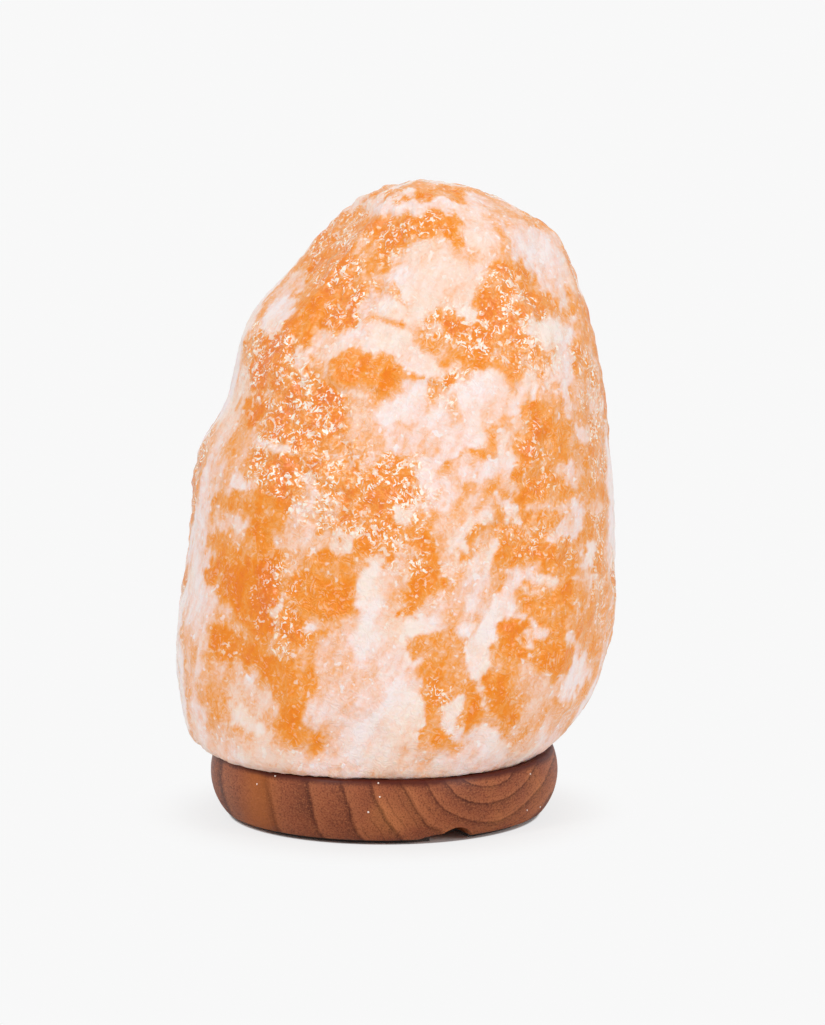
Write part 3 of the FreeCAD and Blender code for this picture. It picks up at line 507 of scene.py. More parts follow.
print("edge of a stroke 20 pixels wide:", round(2 * (EDGE + EDGE_SHARE * (10 + GROWN)), 1), "pixels")

# %% [markdown]
# The strokes are laid one over the other, each covering what is under it a little unevenly. The
# lowest part of the block is bruised white by the saw, whatever lies above it.

# %% From strokes and clouds to one tone for each point
WARPS = ((16.0, 5.0, 101), (6.0, 5.0, 202), (2.6, 4.0, 303))     # cloud in mm, push in pixels, seed
FACING = (0.1, 0.36)     # cosines to the line of sight between which the strokes take over
ZONE_MM = 38.0           # clouds of the sides and the back
VEIN_MM = 13.0           # leaning clouds: broad veins,
FINE_VEIN_MM = 5.0       # finer ones on the sides,
COVER_MM = 6.0           # how unevenly a stroke covers,
STREAKED_MM = 5.5        # and light and dark streaks over everything
BARE_TONE = 0.34         # between the strokes
FAR_SPAN = (-0.5, 0.55)  # cloud values between which the back turns from orange to white
PAINTED_SIDE_SHEEN = 0.22       # painted sheen: what is added to the tone of the sides, where they turn away from the front view
TONES = (-0.35, 1.1)     # the deepest orange and the whitest white
BRUISED = (4, 17)        # mm above the saw cut over which the bruised band ends
BRUISED_TONE = 0.88
BRUISED_SHARE = 0.8
BRUISE_WANDER = 6.0      # how far the band's edge wanders up and down,
BRUISE_CLOUD_MM = 12.0   # over clouds of this size
leaning_skin = lean(skin)
column, row = in_picture(skin)
for size, push, seed in WARPS:
    column = column + push * clouds(skin, size, seed, 2)
    row = row + push * clouds(skin, size, seed + 1, 2)
toward = (EYE - skin) / np.linalg.norm(EYE - skin, axis=-1, keepdims=True)
square_on = np.sum(normal * toward, axis=-1)
facing = ease(*FACING, square_on)

veins = clouds(leaning_skin, VEIN_MM, 9)
mixed = clouds(skin, ZONE_MM, 5, 3) + 0.7 * veins + 0.35 * clouds(leaning_skin, FINE_VEIN_MM, 23, 3)
tone_far = 0.9 * ease(*FAR_SPAN, mixed) + 0.15 * mixed
# the sides turned away from the front view are painted paler: a painted sheen of grazing reflection
tone_far += PAINTED_SIDE_SHEEN * (1 - ease(0.1, 0.5, np.abs(square_on)))
tone_near = BARE_TONE + 0.14 * veins
cover = np.clip(0.95 + 0.35 * clouds(leaning_skin, COVER_MM, 19, 3), 0.5, 1)
for stroke in strokes:
    inside = stroke_share(column, row, stroke) * cover
    tone_near = tone_near * (1 - inside) + stroke[6] * inside
tone = tone_near * facing + tone_far * (1 - facing)
above_saw = skin[..., 2] - Z_SAWN + BRUISE_WANDER * clouds(skin, BRUISE_CLOUD_MM, 77)
bruised = BRUISED_SHARE * (1 - ease(*BRUISED, above_saw))
tone = tone * (1 - bruised) + BRUISED_TONE * bruised
tone += 0.1 * veins + 0.15 * clouds(leaning_skin, STREAKED_MM, 15, 3)
tone = np.clip(tone, *TONES)
print("tone from", tone.min().round(2), "to", tone.max().round(2))

# %% [markdown]
# Some zones are covered in chipped, wet-looking bumps and others are smooth. The zones are
# strokes too; their last number is how bumpy the salt is there.

# %% Where the salt is bumpy and glossy
SMOOTH_SALT = 0.22       # how wet it is between the zones
WET_CLOUD_MM = 30.0      # the zones of the sides and the back
WET_ZONES = (
    (330, 235, 345, 320, 26, 22, 0.75), (385, 224, 440, 226, 40, 12, 0.6), (372, 296, 408, 300, 16, 12, 0.7),
    (268, 345, 300, 420, 26, 46, 1.0), (280, 455, 330, 480, 34, 44, 1.0), (330, 490, 400, 490, 46, 40, 1.0),
    (380, 530, 410, 560, 24, 20, 0.8), (445, 320, 545, 345, 22, 34, 1.0), (495, 280, 520, 320, 20, 34, 0.9),
    (440, 395, 470, 385, 18, 18, 0.7), (590, 360, 602, 470, 12, 12, 0.7), (530, 430, 545, 480, 12, 16, 0.5),
    (280, 580, 290, 640, 16, 18, 0.6), (250, 600, 240, 650, 16, 14, 0.45), (505, 525, 560, 545, 14, 16, 0.6),
    (470, 540, 430, 600, 16, 16, 0.45), (440, 690, 460, 735, 12, 12, 0.6), (600, 520, 606, 640, 9, 9, 0.55),
)
zone = np.full(skin.shape[:-1], SMOOTH_SALT)
for stroke in WET_ZONES:
    zone = np.maximum(zone, stroke[6] * stroke_share(column, row, stroke))
zone_far = 0.3 + 0.6 * ease(-0.2, 0.35, clouds(skin, WET_CLOUD_MM, 83, 3))
zone = zone * facing + zone_far * (1 - facing)
wet = np.clip(zone * (1.1 - 0.75 * ease(0.3, 0.95, tone)), 0, 1)
print("wet share of the skin", round(float((wet > 0.4).mean()), 2))

# %% [markdown]
# ## The block of salt: its relief
# Hammer blows leave shallow scoops with ridges between them. Where the salt is clear and orange
# it also carries dense round bumps, as if it had been wet, and two ledges cross the upper part.
# All of it is a height along the outward direction, so the bumps cost no more than the smooth
# skin would.

# %% Ledges across the upper part
# a line between two pixels, and how far the salt over it stands proud, in mm
LEDGES = ((342, 206, 462, 209, 1.1), (330, 380, 398, 390, 0.9), (398, 374, 462, 388, 0.8))
LEDGE_FADE = (-26, -4)   # rows over which the proud part rises towards the ledge
LEDGE_STEP = (-1.5, 2.0)     # and those of the step itself


def ledge_height(column, row, ledge):
    """What lies above the ledge's line stands proud and fades out upwards; the step below it is
    a few pixels high and dies away at the line's ends."""
    x0, y0, x1, y1, proud = ledge
    along = (column - x0) / (x1 - x0)
    below = row - (y0 + (y1 - y0) * np.clip(along, 0, 1))
    ends = ease(0, 0.15, along) * (1 - ease(0.85, 1, along))
    return proud * ends * ease(*LEDGE_FADE, below) * (1 - ease(*LEDGE_STEP, below))


print(len(LEDGES), "ledges")

# %% [markdown]
# The relief is a sum of layers, from broad swells down to grit. The squared distance to
# scattered seeds gives scoops where it is added, and round bumps where it is taken away.

# %% Scoops and bumps
SWELL_MM = 24.0
SCOOP_MM = 13.0
BUMP_MM = 5.2
PIMPLE_MM = 2.8
GRIT_MM = 2.4
CHIP_UP = 0.6            # how far up the sawn edge is chipped, in mm,
CHIP_MM = 5.0            # in chips of about this size,
CHIP_LIP = 0.3           # and how far the next row stays over them
EDGE_HOLD = (-1.5, 2.0)  # mm above the saw cut over which the relief sets in
relief = 0.45 * clouds(skin, SWELL_MM, 31, 3)
relief += 0.7 * (seed_distance(skin, SCOOP_MM, 41) ** 2 - 0.3)
relief -= (0.25 + 0.95 * wet) * (seed_distance(skin, BUMP_MM, 53) ** 2 - 0.25) * 1.3
relief -= (0.1 + 0.6 * wet) * (seed_distance(skin, PIMPLE_MM, 67) ** 2 - 0.25)
relief += 0.18 * clouds(skin, GRIT_MM, 71, 2)
for ledge in LEDGES:
    relief += facing * ledge_height(column, row, ledge)
edge_hold = ease(*EDGE_HOLD, skin[..., 2] - Z_SAWN)
skin = skin + normal * (relief * edge_hold)[..., None]
skin[..., 2] = np.maximum(skin[..., 2], Z_SAWN)
chipped = np.clip(clouds(skin[-1], CHIP_MM, 88, 3) + 0.15, 0, 1) * CHIP_UP
skin[-1, :, 2] = Z_SAWN + chipped
skin[-2, :, 2] = np.maximum(skin[-2, :, 2], Z_SAWN + chipped + CHIP_LIP)
print("relief from", relief.min().round(2), "to", relief.max().round(2), "mm")

# %% [markdown]
# The sawn underside is flat, and a bore for the bulb runs up from it. These are a few more rows
# on the same columns: across the underside, up the wall of the bore and over its blunt end to a
# single closing point.

# %% Underside, bore and the closed mesh
BORE_R = 23.0
BORE_TOP_R = 11.0
BORE_SHUT = 110.0        # where the drill's blunt cone begins, and where it ends
BORE_TOP = 118.0
UNDER_ROWS = 5
UNDER_START = 0.04       # the first row's share of the way from the sawn edge to the bore
BORE_ROWS = 14
ring = np.stack([np.cos(azimuth), np.sin(azimuth)], axis=-1)
under_share = np.linspace(0, 1, UNDER_ROWS + 1)[1:, None, None] * (1 - UNDER_START) + UNDER_START
under_flat = skin[-1][None, :, :2] * (1 - under_share) + ring[None] * BORE_R * under_share
under = np.concatenate([under_flat, np.full((UNDER_ROWS, COLUMNS, 1), Z_SAWN)], axis=-1)
bore_z = np.append(np.linspace(Z_SAWN, BORE_SHUT, BORE_ROWS)[1:], BORE_TOP)
bore_r = np.append(np.full(BORE_ROWS - 1, BORE_R), BORE_TOP_R)
bore_flat = ring[None] * bore_r[:, None, None]
bore = np.concatenate([bore_flat, np.repeat(bore_z[:, None], COLUMNS, axis=1)[..., None]], axis=-1)
sheet = np.concatenate([skin, under, bore], axis=0)
points = closed_points(sheet)
salt_faces = closed_faces(len(sheet), COLUMNS, inside_out=True)
print("block:", len(points), "points,", 2 * len(sheet) * COLUMNS, "triangles")

# %% [markdown]
# ## The finish of rock salt
# Rock salt, halite, is a clear crystal with an IOR of 1.54. Light goes a few millimetres into
# it and comes back warm, the surface is glossy where it is clean and dull where it is crushed,
# and tiny curved chips catch white lights. The tone painted on the skin is broken up further by
# leaning streaks, grains and white specks, and a ramp turns it into colour.

# %% The salt material: tone and colour
HALITE_IOR = 1.54
STREAK_MM = 5.0
GRAIN_MM = 1.3
CRINKLE_MM = 3.3
CRINKLE_WAVES = 32.0     # how quickly the wave runs through the crinkle's values
SPECK_MM = 2.4
WARMTH_MM = 26.0
MID_NOISE = 0.52         # about the middle of a noise texture's values
RAMP_SPAN = (-0.35, 1.15)    # tones at the two ends of the colour ramp
salt, tree, shader = blank("hewn_rock_salt")
place = add(tree, "TexCoord", out="Object")
tone_in = add(tree, "Attribute", attribute_name="tone", out="Fac")
wet_in = add(tree, "Attribute", attribute_name="wet", out="Fac")
leaning = add(tree, "Mapping", place, Rotation=(0, 0.45, 0), Scale=(1, 1, 2.2), vector_type="TEXTURE")
streak = add(tree, "TexNoise", leaning, Scale=1 / (STREAK_MM * MM), Detail=6.0, Roughness=0.68)
grain = add(tree, "TexNoise", place, Scale=1 / (GRAIN_MM * MM), Detail=3.0, Roughness=0.6)
crinkle = add(tree, "TexNoise", place, Scale=1 / (CRINKLE_MM * MM), Detail=2.0, Distortion=0.6)
waves = add(tree, "Math", crinkle, CRINKLE_WAVES, operation="MULTIPLY")
wave = add(tree, "Math", waves, operation="SINE")
fuss = add(tree, "Math", wave, 0.08, grain, operation="MULTIPLY_ADD")
fuss = add(tree, "Math", fuss, MID_NOISE, operation="SUBTRACT")
busy = add(tree, "Math", wet_in, 0.8, 0.4, operation="MULTIPLY_ADD")
fuss = add(tree, "Math", fuss, busy, streak, operation="MULTIPLY_ADD")
fuss = add(tree, "Math", fuss, MID_NOISE, operation="SUBTRACT")
speck = add(tree, "TexNoise", place, Scale=1 / (SPECK_MM * MM), Detail=1.0)
white_speck = add(tree, "MapRange", speck, 0.66, 0.72, 0.0, 0.4)
tone_now = add(tree, "Math", add(tree, "Math", tone_in, fuss), white_speck)
colour = add(tree, "ValToRGB", add(tree, "MapRange", tone_now, *RAMP_SPAN), stops=(
    (0.0, "#ED7800"), (0.2, "#F28A06"), (0.34, "#F39C40"), (0.45, "#F4AE76"),
    (0.58, "#F6C2A2"), (0.72, "#F8D6C9"), (0.92, "#F9EAE7")))

warmth = add(tree, "TexNoise", place, Scale=1 / (WARMTH_MM * MM), Detail=2.0)
warm = add(tree, "MapRange", warmth, 0.46, 0.62, 0.0, 0.3)
cream = add(tree, "Math", warm, add(tree, "MapRange", tone_now, 0.4, 0.75), operation="MULTIPLY")
colour = add(tree, "Mix", cream, colour, linear("#F8DDBC"), data_type="RGBA")
print("salt:", len(tree.nodes), "nodes for its tone")

# %% [markdown]
# The glints are painted highlights, white in the colour where a ridge is chipped: partly white
# crushed salt, partly the sharp reflections of wet curls. The ridges are the crests of a sine of a
# noise: curls of even height that open and close like the real ones. Two more noises cut them into
# short pieces and gather them in patches. Small white spots, painted highlights too, lie between them.

# %% The salt material: chips and spots, with painted glints
PIECE_MM = 1.5
PATCH_MM = 7.0
SPOT_MM = 3.4
pieces = add(tree, "TexNoise", place, Scale=1 / (PIECE_MM * MM), Detail=1.0)
patches = add(tree, "TexNoise", place, Scale=1 / (PATCH_MM * MM), Detail=2.0)
# white curls on the wave's crests: partly chipped salt, partly painted glints of highlight
chip_and_painted_glint = add(tree, "MapRange", wave, 0.2, 0.65)
for share in (add(tree, "MapRange", pieces, 0.47, 0.53), add(tree, "MapRange", patches, 0.42, 0.51),
              add(tree, "MapRange", wet_in, 0.15, 0.75, 0.05, 0.97)):
    chip_and_painted_glint = add(tree, "Math", chip_and_painted_glint, share, operation="MULTIPLY")
spots = add(tree, "TexNoise", place, Scale=1 / (SPOT_MM * MM), Detail=3.0, Roughness=0.65, Distortion=0.8)
wettest = add(tree, "MapRange", wet_in, 0.45, 0.9, 0.0, 0.8)
# white spots where the salt is wettest: partly white salt, partly painted highlights
spots_and_painted_glints = add(tree, "Math", add(tree, "MapRange", spots, 0.585, 0.63), wettest, operation="MULTIPLY")
# the white of the spots and of the chips goes into the base colour as painted highlights
colour = add(tree, "Mix", spots_and_painted_glints, colour, linear("#F9E3D2"), data_type="RGBA")
colour = add(tree, "Mix", chip_and_painted_glint, colour, linear("#FFF6E8"), data_type="RGBA")
print("salt:", len(tree.nodes), "nodes with the chips")

# %% [markdown]
# The fine relief that the mesh is too coarse for, under about 2 mm, is bump: round grains where
# the salt is wet and a crushed, sugary grain where it is white. A thin clear coat where the salt
# is wet gives sharp highlights; white salt is dull.

# %% The salt material: gloss and fine relief
PEBBLE_MM = 2.3
pebbles = add(tree, "TexVoronoi", place, Scale=1 / (PEBBLE_MM * MM), feature="SMOOTH_F1")
heights = add(tree, "Math", grain, 0.5, operation="MULTIPLY")
heights = add(tree, "Math", wave, 0.14, heights, operation="MULTIPLY_ADD")
heights = add(tree, "Math", heights, pebbles, operation="SUBTRACT")
fine = add(tree, "Bump", Height=heights, Strength=0.5, Distance=0.8 * MM)
feed(shader, {
    "Base Color": colour,
    "Roughness": add(tree, "MapRange", tone_now, 0.0, 1.0, 0.3, 0.6),
    "Normal": fine,
    "IOR": HALITE_IOR,
    "Specular IOR Level": 0.2,
    "Coat Weight": add(tree, "Math", wet_in, 0.65, 0.1, operation="MULTIPLY_ADD"),
    "Coat Roughness": 0.07,
    "Coat IOR": HALITE_IOR,
    "Coat Normal": fine,
    "Subsurface Weight": 0.15,
    "Subsurface Radius": (1.0, 0.45, 0.2),
    "Subsurface Scale": 2.0 * MM,
})
print(salt.name, "has", len(tree.nodes), "nodes")

# %% [markdown]
# The tone and the wetness go with the mesh as two attributes, one value for each point, where
# the material reads them. The underside and the bore are plain, dry and pale.

# %% The block with its tone and wetness
PLAIN = {"tone": 0.7, "wet": 0.0}
crystal = make_piece("salt_block", points, salt_faces, "lamp", "rock_salt", salt, ("salt_crystal",))
for label, values in (("tone", tone), ("wet", wet)):
    store = crystal.data.attributes.new(label, "FLOAT", "POINT")
    filled = np.full(len(points), PLAIN[label], np.float32)
    filled[:values.size] = values.ravel()
    store.data.foreach_set("value", filled)
crystal.data.set_sharp_from_angle(angle=math.radians(70))
print("salt block", [round(v, 1) for v in np.ptp(points, axis=0)], "mm")

# %% [markdown]
# ## The wooden foot
# The foot is turned from a dark reddish hardwood, neem or shisham, with the grain lying across
# the foot, so the front shows end grain: growth rings round a centre that lies to the right.
# The CAD node already has the barrel rim, the cord groove and the screw holes, so its mesh is
# copied, its loose triangles are merged and its curved faces are shaded smooth.

# %% A smooth copy of a CAD node
MERGED = 0.002           # corners closer than this, in mm, become one


def smooth_copy(node, piece_name, body, material, angle=32):
    """A copy of a node's mesh: corners in the same place are merged, then every edge whose two
    faces turn by more than the angle stays sharp."""
    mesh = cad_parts[node].data.copy()
    mesh.name = piece_name
    work = bmesh.new()
    work.from_mesh(mesh)
    bmesh.ops.remove_doubles(work, verts=work.verts, dist=MERGED * MM)
    work.to_mesh(mesh)
    work.free()
    mesh.shade_smooth()
    mesh.set_sharp_from_angle(angle=math.radians(angle))
    mesh.materials.clear()
    mesh.materials.append(material)
    piece = new_object(piece_name, mesh)
    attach(piece, body)
    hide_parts(node)
    print(piece_name, len(mesh.vertices), "points,", len(mesh.polygons), "faces")


# %% [markdown]
# The rings are a distance from a lengthwise axis, made uneven by clouds. A ramp turns the ring
# number into late wood, thin and dark, and early wood, broad and light. Fainter lines lie
# between the dark ones, and short pores run along the grain.

# %% The wood material: rings and pores
RING_AXIS = (35.5, 30.0)     # where the pith runs through the foot, x and z in mm
RING_GROWTH = 6.5            # rings = growth x natural logarithm of (1 + distance / start)
RING_START = 20.0
RING_PHASE = -0.2            # moves the dark lines a little outwards
RING_FLATTEN = 0.1           # how little the rings change along the grain
FINE_LINES = 2.63            # fainter lines for each dark one
WOBBLE_MM = 22.0             # clouds that push the rings,
WOBBLE = 7.0                 # and how far in all, in mm
BLOTCH_MM = 18.0
PORE_MM = 0.55
wood, tree, shader = blank("varnished_shisham")
place = add(tree, "TexCoord", out="Object")
centred = add(tree, "Mapping", place, Location=(-RING_AXIS[0] * MM, 0, -RING_AXIS[1] * MM))
wobble = add(tree, "TexNoise", place, Scale=1 / (WOBBLE_MM * MM), Detail=4.0)
flattened = add(tree, "VectorMath", centred, (1.0, RING_FLATTEN, 1.0), operation="MULTIPLY")
away = add(tree, "VectorMath", flattened, operation="LENGTH")
push = add(tree, "Math", wobble, WOBBLE * MM, -WOBBLE / 2 * MM, operation="MULTIPLY_ADD")
pushed = add(tree, "Math", away, push)
reach = add(tree, "Math", pushed, 1 / (RING_START * MM), 1.0, operation="MULTIPLY_ADD")
grown = add(tree, "Math", reach, math.e, operation="LOGARITHM")
rings = add(tree, "Math", grown, RING_GROWTH, RING_PHASE, operation="MULTIPLY_ADD")
colour = add(tree, "ValToRGB", add(tree, "Math", rings, operation="FRACT"), stops=(
    (0.0, "#2B100A"), (0.035, "#5E2E1E"), (0.13, "#82472F"), (0.55, "#9D583A"),
    (0.9, "#B26A45"), (0.96, "#6E3822"), (1.0, "#2B100A")))
blotch = add(tree, "TexNoise", place, Scale=1 / (BLOTCH_MM * MM), Detail=5.0)
blotched = add(tree, "ValToRGB", blotch, stops=((0.3, "#5C2A1A"), (0.5, "#974F30"), (0.7, "#CB7F48")))
colour = add(tree, "Mix", 0.36, colour, blotched, data_type="RGBA")
lines = add(tree, "Math", grown, RING_GROWTH * FINE_LINES, operation="MULTIPLY")
line = add(tree, "MapRange", add(tree, "Math", lines, operation="FRACT"), 0.0, 0.16, 0.42, 0.0)
line = add(tree, "Math", line, add(tree, "MapRange", blotch, 0.46, 0.56), operation="MULTIPLY")
along_grain = add(tree, "Mapping", place, Scale=(1.0, 0.12, 1.0))
pores = add(tree, "TexNoise", along_grain, Scale=1 / (PORE_MM * MM), Detail=2.0, Roughness=0.7)
pore = add(tree, "MapRange", pores, 0.5, 0.66, 0.0, 0.55)
fleck = add(tree, "MapRange", pores, 0.46, 0.34, 0.0, 0.5)
for share, over in ((line, "#3F1B10"), (pore, "#3B1B10"), (fleck, "#AE6E44")):
    colour = add(tree, "Mix", share, colour, linear(over), data_type="RGBA")
print("wood:", len(tree.nodes), "nodes for rings and pores")

# %% [markdown]
# A streak of amber sapwood runs through the left of the foot, along the grain. Under the edge of
# the salt the rim is painted dark and reddish, as painted shade of the block and a painted
# reflection of its orange: a band at one height, with a ragged lower edge.

# %% The wood material: amber streak, painted shade under the salt, and gloss
AMBER_X = 38.0               # how far left the streak's middle lies at least, in mm,
AMBER_WANDER = 9.0           # and what the clouds add to that at most
AMBER = (2.0, 8.0)           # half widths of its full and of its fading part
SHADE_BAND = (20.6, 22.2)        # heights between which the painted shade band sets in
RAGGED = 3.0                 # how far its lower edge wanders up and down in all
across = add(tree, "SeparateXYZ", place, out="X")
height = add(tree, "SeparateXYZ", place, out="Z")
wander = add(tree, "Math", wobble, AMBER_WANDER * MM, AMBER_X * MM, operation="MULTIPLY_ADD")
off_streak = add(tree, "Math", add(tree, "Math", across, wander), operation="ABSOLUTE")
amber = add(tree, "MapRange", off_streak, AMBER[0] * MM, AMBER[1] * MM, 0.5, 0.0)
uneven = add(tree, "Math", wobble, RAGGED * MM, -RAGGED / 2 * MM, operation="MULTIPLY_ADD")
ragged = add(tree, "Math", height, uneven)
# painted shade and painted orange reflection under the salt: a dark red band at the top of the rim
painted_shade_band = add(tree, "MapRange", ragged, SHADE_BAND[0] * MM, SHADE_BAND[1] * MM, 0.0, 0.9)
for share, over in ((amber, "#B8682A"), (painted_shade_band, "#4A1208")):
    colour = add(tree, "Mix", share, colour, linear(over), data_type="RGBA")
dents = add(tree, "Math", pores, -1.0, operation="MULTIPLY")
feed(shader, {
    "Base Color": colour,
    "Roughness": add(tree, "MapRange", blotch, 0.3, 0.7, 0.42, 0.58),
    "Normal": add(tree, "Bump", Height=dents, Strength=0.5, Distance=0.2 * MM),
    "Specular IOR Level": 0.16,
    "Coat Weight": 0.06,
    "Coat Roughness": 0.25,
})
smooth_copy("wood_base", "turned_foot", "lamp", wood)

# %% [markdown]
# ## Plain finishes of the hidden pieces
# Most of the lamp's workings are small moulded, stamped or drawn pieces. Their finishes share a
# pattern: a fine noise that moves the colour a little, the roughness a little, and the bump.
# Each entry says what the real material is and what that gives the eye.

# %% A table of small finishes
# two colours, least and greatest roughness, metallic, then size and height of the noise in mm
SMALL_FINISHES = {
    # wool felt, pressed: matt, fuzzy, tufts of about half a millimetre
    "pressed_felt": ("#3B3532", "#57504B", 0.95, 0.98, 0.0, 0.5, 0.35),
    # zinc-plated steel: cool grey, satin, slightly cloudy
    "zinc_plated_steel": ("#9EA3A6", "#C3C7C8", 0.28, 0.45, 1.0, 1.5, 0.02),
    # hardened spring steel, wiped with oil: mid grey, rather bright
    "spring_steel": ("#7E8185", "#A3A6A8", 0.22, 0.36, 1.0, 1.2, 0.02),
    # polyethylene of the wall plugs: milky grey, waxy
    "moulded_polyethylene": ("#A9ABA9", "#B9BBB8", 0.45, 0.55, 0.0, 2.0, 0.03),
    # phenolic moulding of the holder: near black, satin
    "phenolic_moulding": ("#1E1C1B", "#2B2826", 0.34, 0.46, 0.0, 1.8, 0.02),
    # laminated phenolic paper board: brown, dull, faintly mottled
    "laminated_phenolic": ("#7E5630", "#A1764A", 0.45, 0.58, 0.0, 0.8, 0.03),
    # rolled brass: warm yellow, satin
    "rolled_brass": ("#B08D4A", "#CDAE68", 0.25, 0.4, 1.0, 0.9, 0.02),
    # nickel-plated brass of the bulb's cap: warm silver
    "nickel_plated_brass": ("#B9B3A6", "#D6D1C6", 0.18, 0.32, 1.0, 1.4, 0.02),
    # tin solder dabbed on the bulb's foot: dull silver, wavy
    "tin_solder": ("#A9A8A3", "#C9C8C2", 0.35, 0.5, 1.0, 1.0, 0.12),
    # the black glass that insulates the bulb's foot: deep black, glossy
    "black_glass": ("#0B0C10", "#17181E", 0.08, 0.14, 0.0, 2.0, 0.02),
    # basing cement between cap and glass: sandy
    "basing_cement": ("#C9BFA6", "#DDD5BF", 0.85, 0.95, 0.0, 0.5, 0.1),
    # nickel-iron lead wire: dull grey
    "nickel_iron_wire": ("#8F8D88", "#AFADA7", 0.3, 0.42, 1.0, 0.8, 0.02),
    # drawn tungsten: dark steel grey
    "drawn_tungsten": ("#55565A", "#77787C", 0.3, 0.42, 1.0, 0.5, 0.02),
}


def small_finish(name):
    """Colour and roughness each run between two values with a fine noise; the same noise lifts
    the surface by the last value in mm."""
    dark, light, smooth, rough, metal, size, lift = SMALL_FINISHES[name]
    material, tree, shader = blank(name)
    place = add(tree, "TexCoord", out="Object")
    noise = add(tree, "TexNoise", place, Scale=1 / (size * MM), Detail=4.0, Roughness=0.6)
    feed(shader, {
        "Base Color": add(tree, "ValToRGB", noise, stops=((0.3, dark), (0.7, light))),
        "Roughness": add(tree, "MapRange", noise, 0.3, 0.7, smooth, rough),
        "Normal": add(tree, "Bump", Height=noise, Strength=0.6, Distance=lift * MM),
        "Metallic": metal,
    })
    return material


finish = {name: small_finish(name) for name in SMALL_FINISHES}
feed(finish["pressed_felt"].node_tree.nodes["Principled BSDF"], {"Sheen Weight": 0.5})
print(len(finish), "small finishes")

# %% [markdown]
# The bulb is blown from clear soda-lime glass, IOR 1.5. Slow waves in its wall show as faint
# changes of tint and gloss.

# %% The glass of the bulb
GLASS_IOR = 1.5
GLASS_WAVE_MM = 9.0
finish["clear_bulb_glass"], tree, shader = blank("clear_bulb_glass")
place = add(tree, "TexCoord", out="Object")
slow = add(tree, "TexNoise", place, Scale=1 / (GLASS_WAVE_MM * MM), Detail=2.0)
feed(shader, {
    "Base Color": add(tree, "ValToRGB", slow, stops=((0.3, "#F4F8F6"), (0.7, "#FDFEFE"))),
    "Roughness": add(tree, "MapRange", slow, 0.0, 1.0, 0.0, 0.05),
    "Transmission Weight": 1.0,
    "IOR": GLASS_IOR,
})
print("glass:", len(tree.nodes), "nodes")

# %% [markdown]
# ## Smooth copies of the moulded, stamped and blown pieces
# These shapes are complete in the CAD frame. Each gets smooth shading and its finish.

# %% Pieces that keep their CAD shape
# CAD node, piece, body, slot and finish
KEPT_SHAPES = (
    ("felt_ring", "felt_pad", "lamp", "felt", "pressed_felt"),
    ("wall_plugs", "grey_plugs", "lamp", "plug_plastic", "moulded_polyethylene"),
    ("holder_cup", "holder_sleeve", "holder", "holder_plastic", "phenolic_moulding"),
    ("holder_cap", "holder_end_cap", "holder", "holder_plastic", "phenolic_moulding"),
    ("contact_carrier", "carrier_disc", "holder", "carrier_plastic", "laminated_phenolic"),
    ("centre_contact", "contact_tongue", "holder", "brass", "rolled_brass"),
    ("live_terminal", "live_plate", "holder", "brass", "rolled_brass"),
    ("neutral_terminal", "neutral_plate", "holder", "brass", "rolled_brass"),
    ("terminal_screws", "clamp_screws", "holder", "zinc_steel", "zinc_plated_steel"),
    ("spring_clip", "leaf_clip", "holder", "spring_steel", "spring_steel"),
    ("clip_rivets", "clip_rivet_pair", "holder", "zinc_steel", "zinc_plated_steel"),
    ("bulb_tip_contact", "bulb_tip", "bulb_foot", "solder", "tin_solder"),
    ("bulb_insulator", "bulb_black_foot", "bulb_foot", "black_glass", "black_glass"),
    ("basing_cement", "cement_ring", "bulb", "cement", "basing_cement"),
    ("lead_wires", "bulb_leads", "bulb", "lead_wire", "nickel_iron_wire"),
    ("filament_support", "filament_hook", "bulb", "lead_wire", "nickel_iron_wire"),
    ("bulb_glass", "bulb_envelope", "bulb", "clear_glass", "clear_bulb_glass"),
    ("bulb_stem", "glass_mount", "bulb", "stem_glass", "clear_bulb_glass"),
)
for node, piece_name, body, slot, finish_name in KEPT_SHAPES:
    smooth_copy(node, piece_name, body, finish[finish_name])
print(len(KEPT_SHAPES), "smooth copies")

# %% [markdown]
# ## The bulb's screw cap and its shell
# The cap is rolled from thin nickel-plated brass with a round thread of 2.54 mm pitch, and the
# brass shell in the holder is rolled to match it. A thread is a turned outline whose radius
# swells and shrinks with height and angle together. Both pieces use one formula, so when the
# bulb turns and rises by one pitch a turn, crest stays against crest.

# %% Rolled tubes and their thread
PITCH = 2.54
THREAD_DEPTH = 0.5
RUN_OUT = 1.2            # how far the thread takes to fade at each end
AROUND = 96


def threaded_sheet(radius, height, z_from, z_to):
    """Points of a turned outline (radius, height) carried round the lamp's axis. The thread takes
    half its depth times one minus the cosine of the angle behind the helix off the radius, and
    fades out towards z_from and z_to."""
    angle = np.linspace(0, 2 * np.pi, AROUND, endpoint=False)[None, :]
    z = np.repeat(np.asarray(height, float)[:, None], AROUND, axis=1)
    wave = (1 - np.cos(2 * np.pi * z / PITCH - angle)) / 2
    fade = ease(z_from, z_from + RUN_OUT, z) * (1 - ease(z_to - RUN_OUT, z_to, z))
    r = np.asarray(radius, float)[:, None] - THREAD_DEPTH * wave * fade
    return np.stack([r * np.cos(angle), r * np.sin(angle), z], axis=-1)


def rolled_tube(outer, wall, name, body, slot, material, stands_for):
    """A thin rolled tube: the outer sheet, then the same sheet drawn in by the wall and read
    backwards, so that the two close round both rims."""
    r = np.linalg.norm(outer[..., :2], axis=-1, keepdims=True)
    inner_xy = outer[..., :2] * (r - wall) / r
    inner = np.concatenate([inner_xy, outer[..., 2:]], axis=-1)[::-1]
    sheet = np.concatenate([outer, inner])
    faces = grid_faces(len(sheet), AROUND, wrap_rows=True)
    piece = make_piece(name, sheet.reshape(-1, 3), faces, body, slot, material, (stands_for,))
    piece.data.set_sharp_from_angle(angle=math.radians(50))


# %% [markdown]
# Each outline starts with a few points of its own: the cap draws in to the black glass at its
# foot, and the shell turns in to a flange under the bulb.

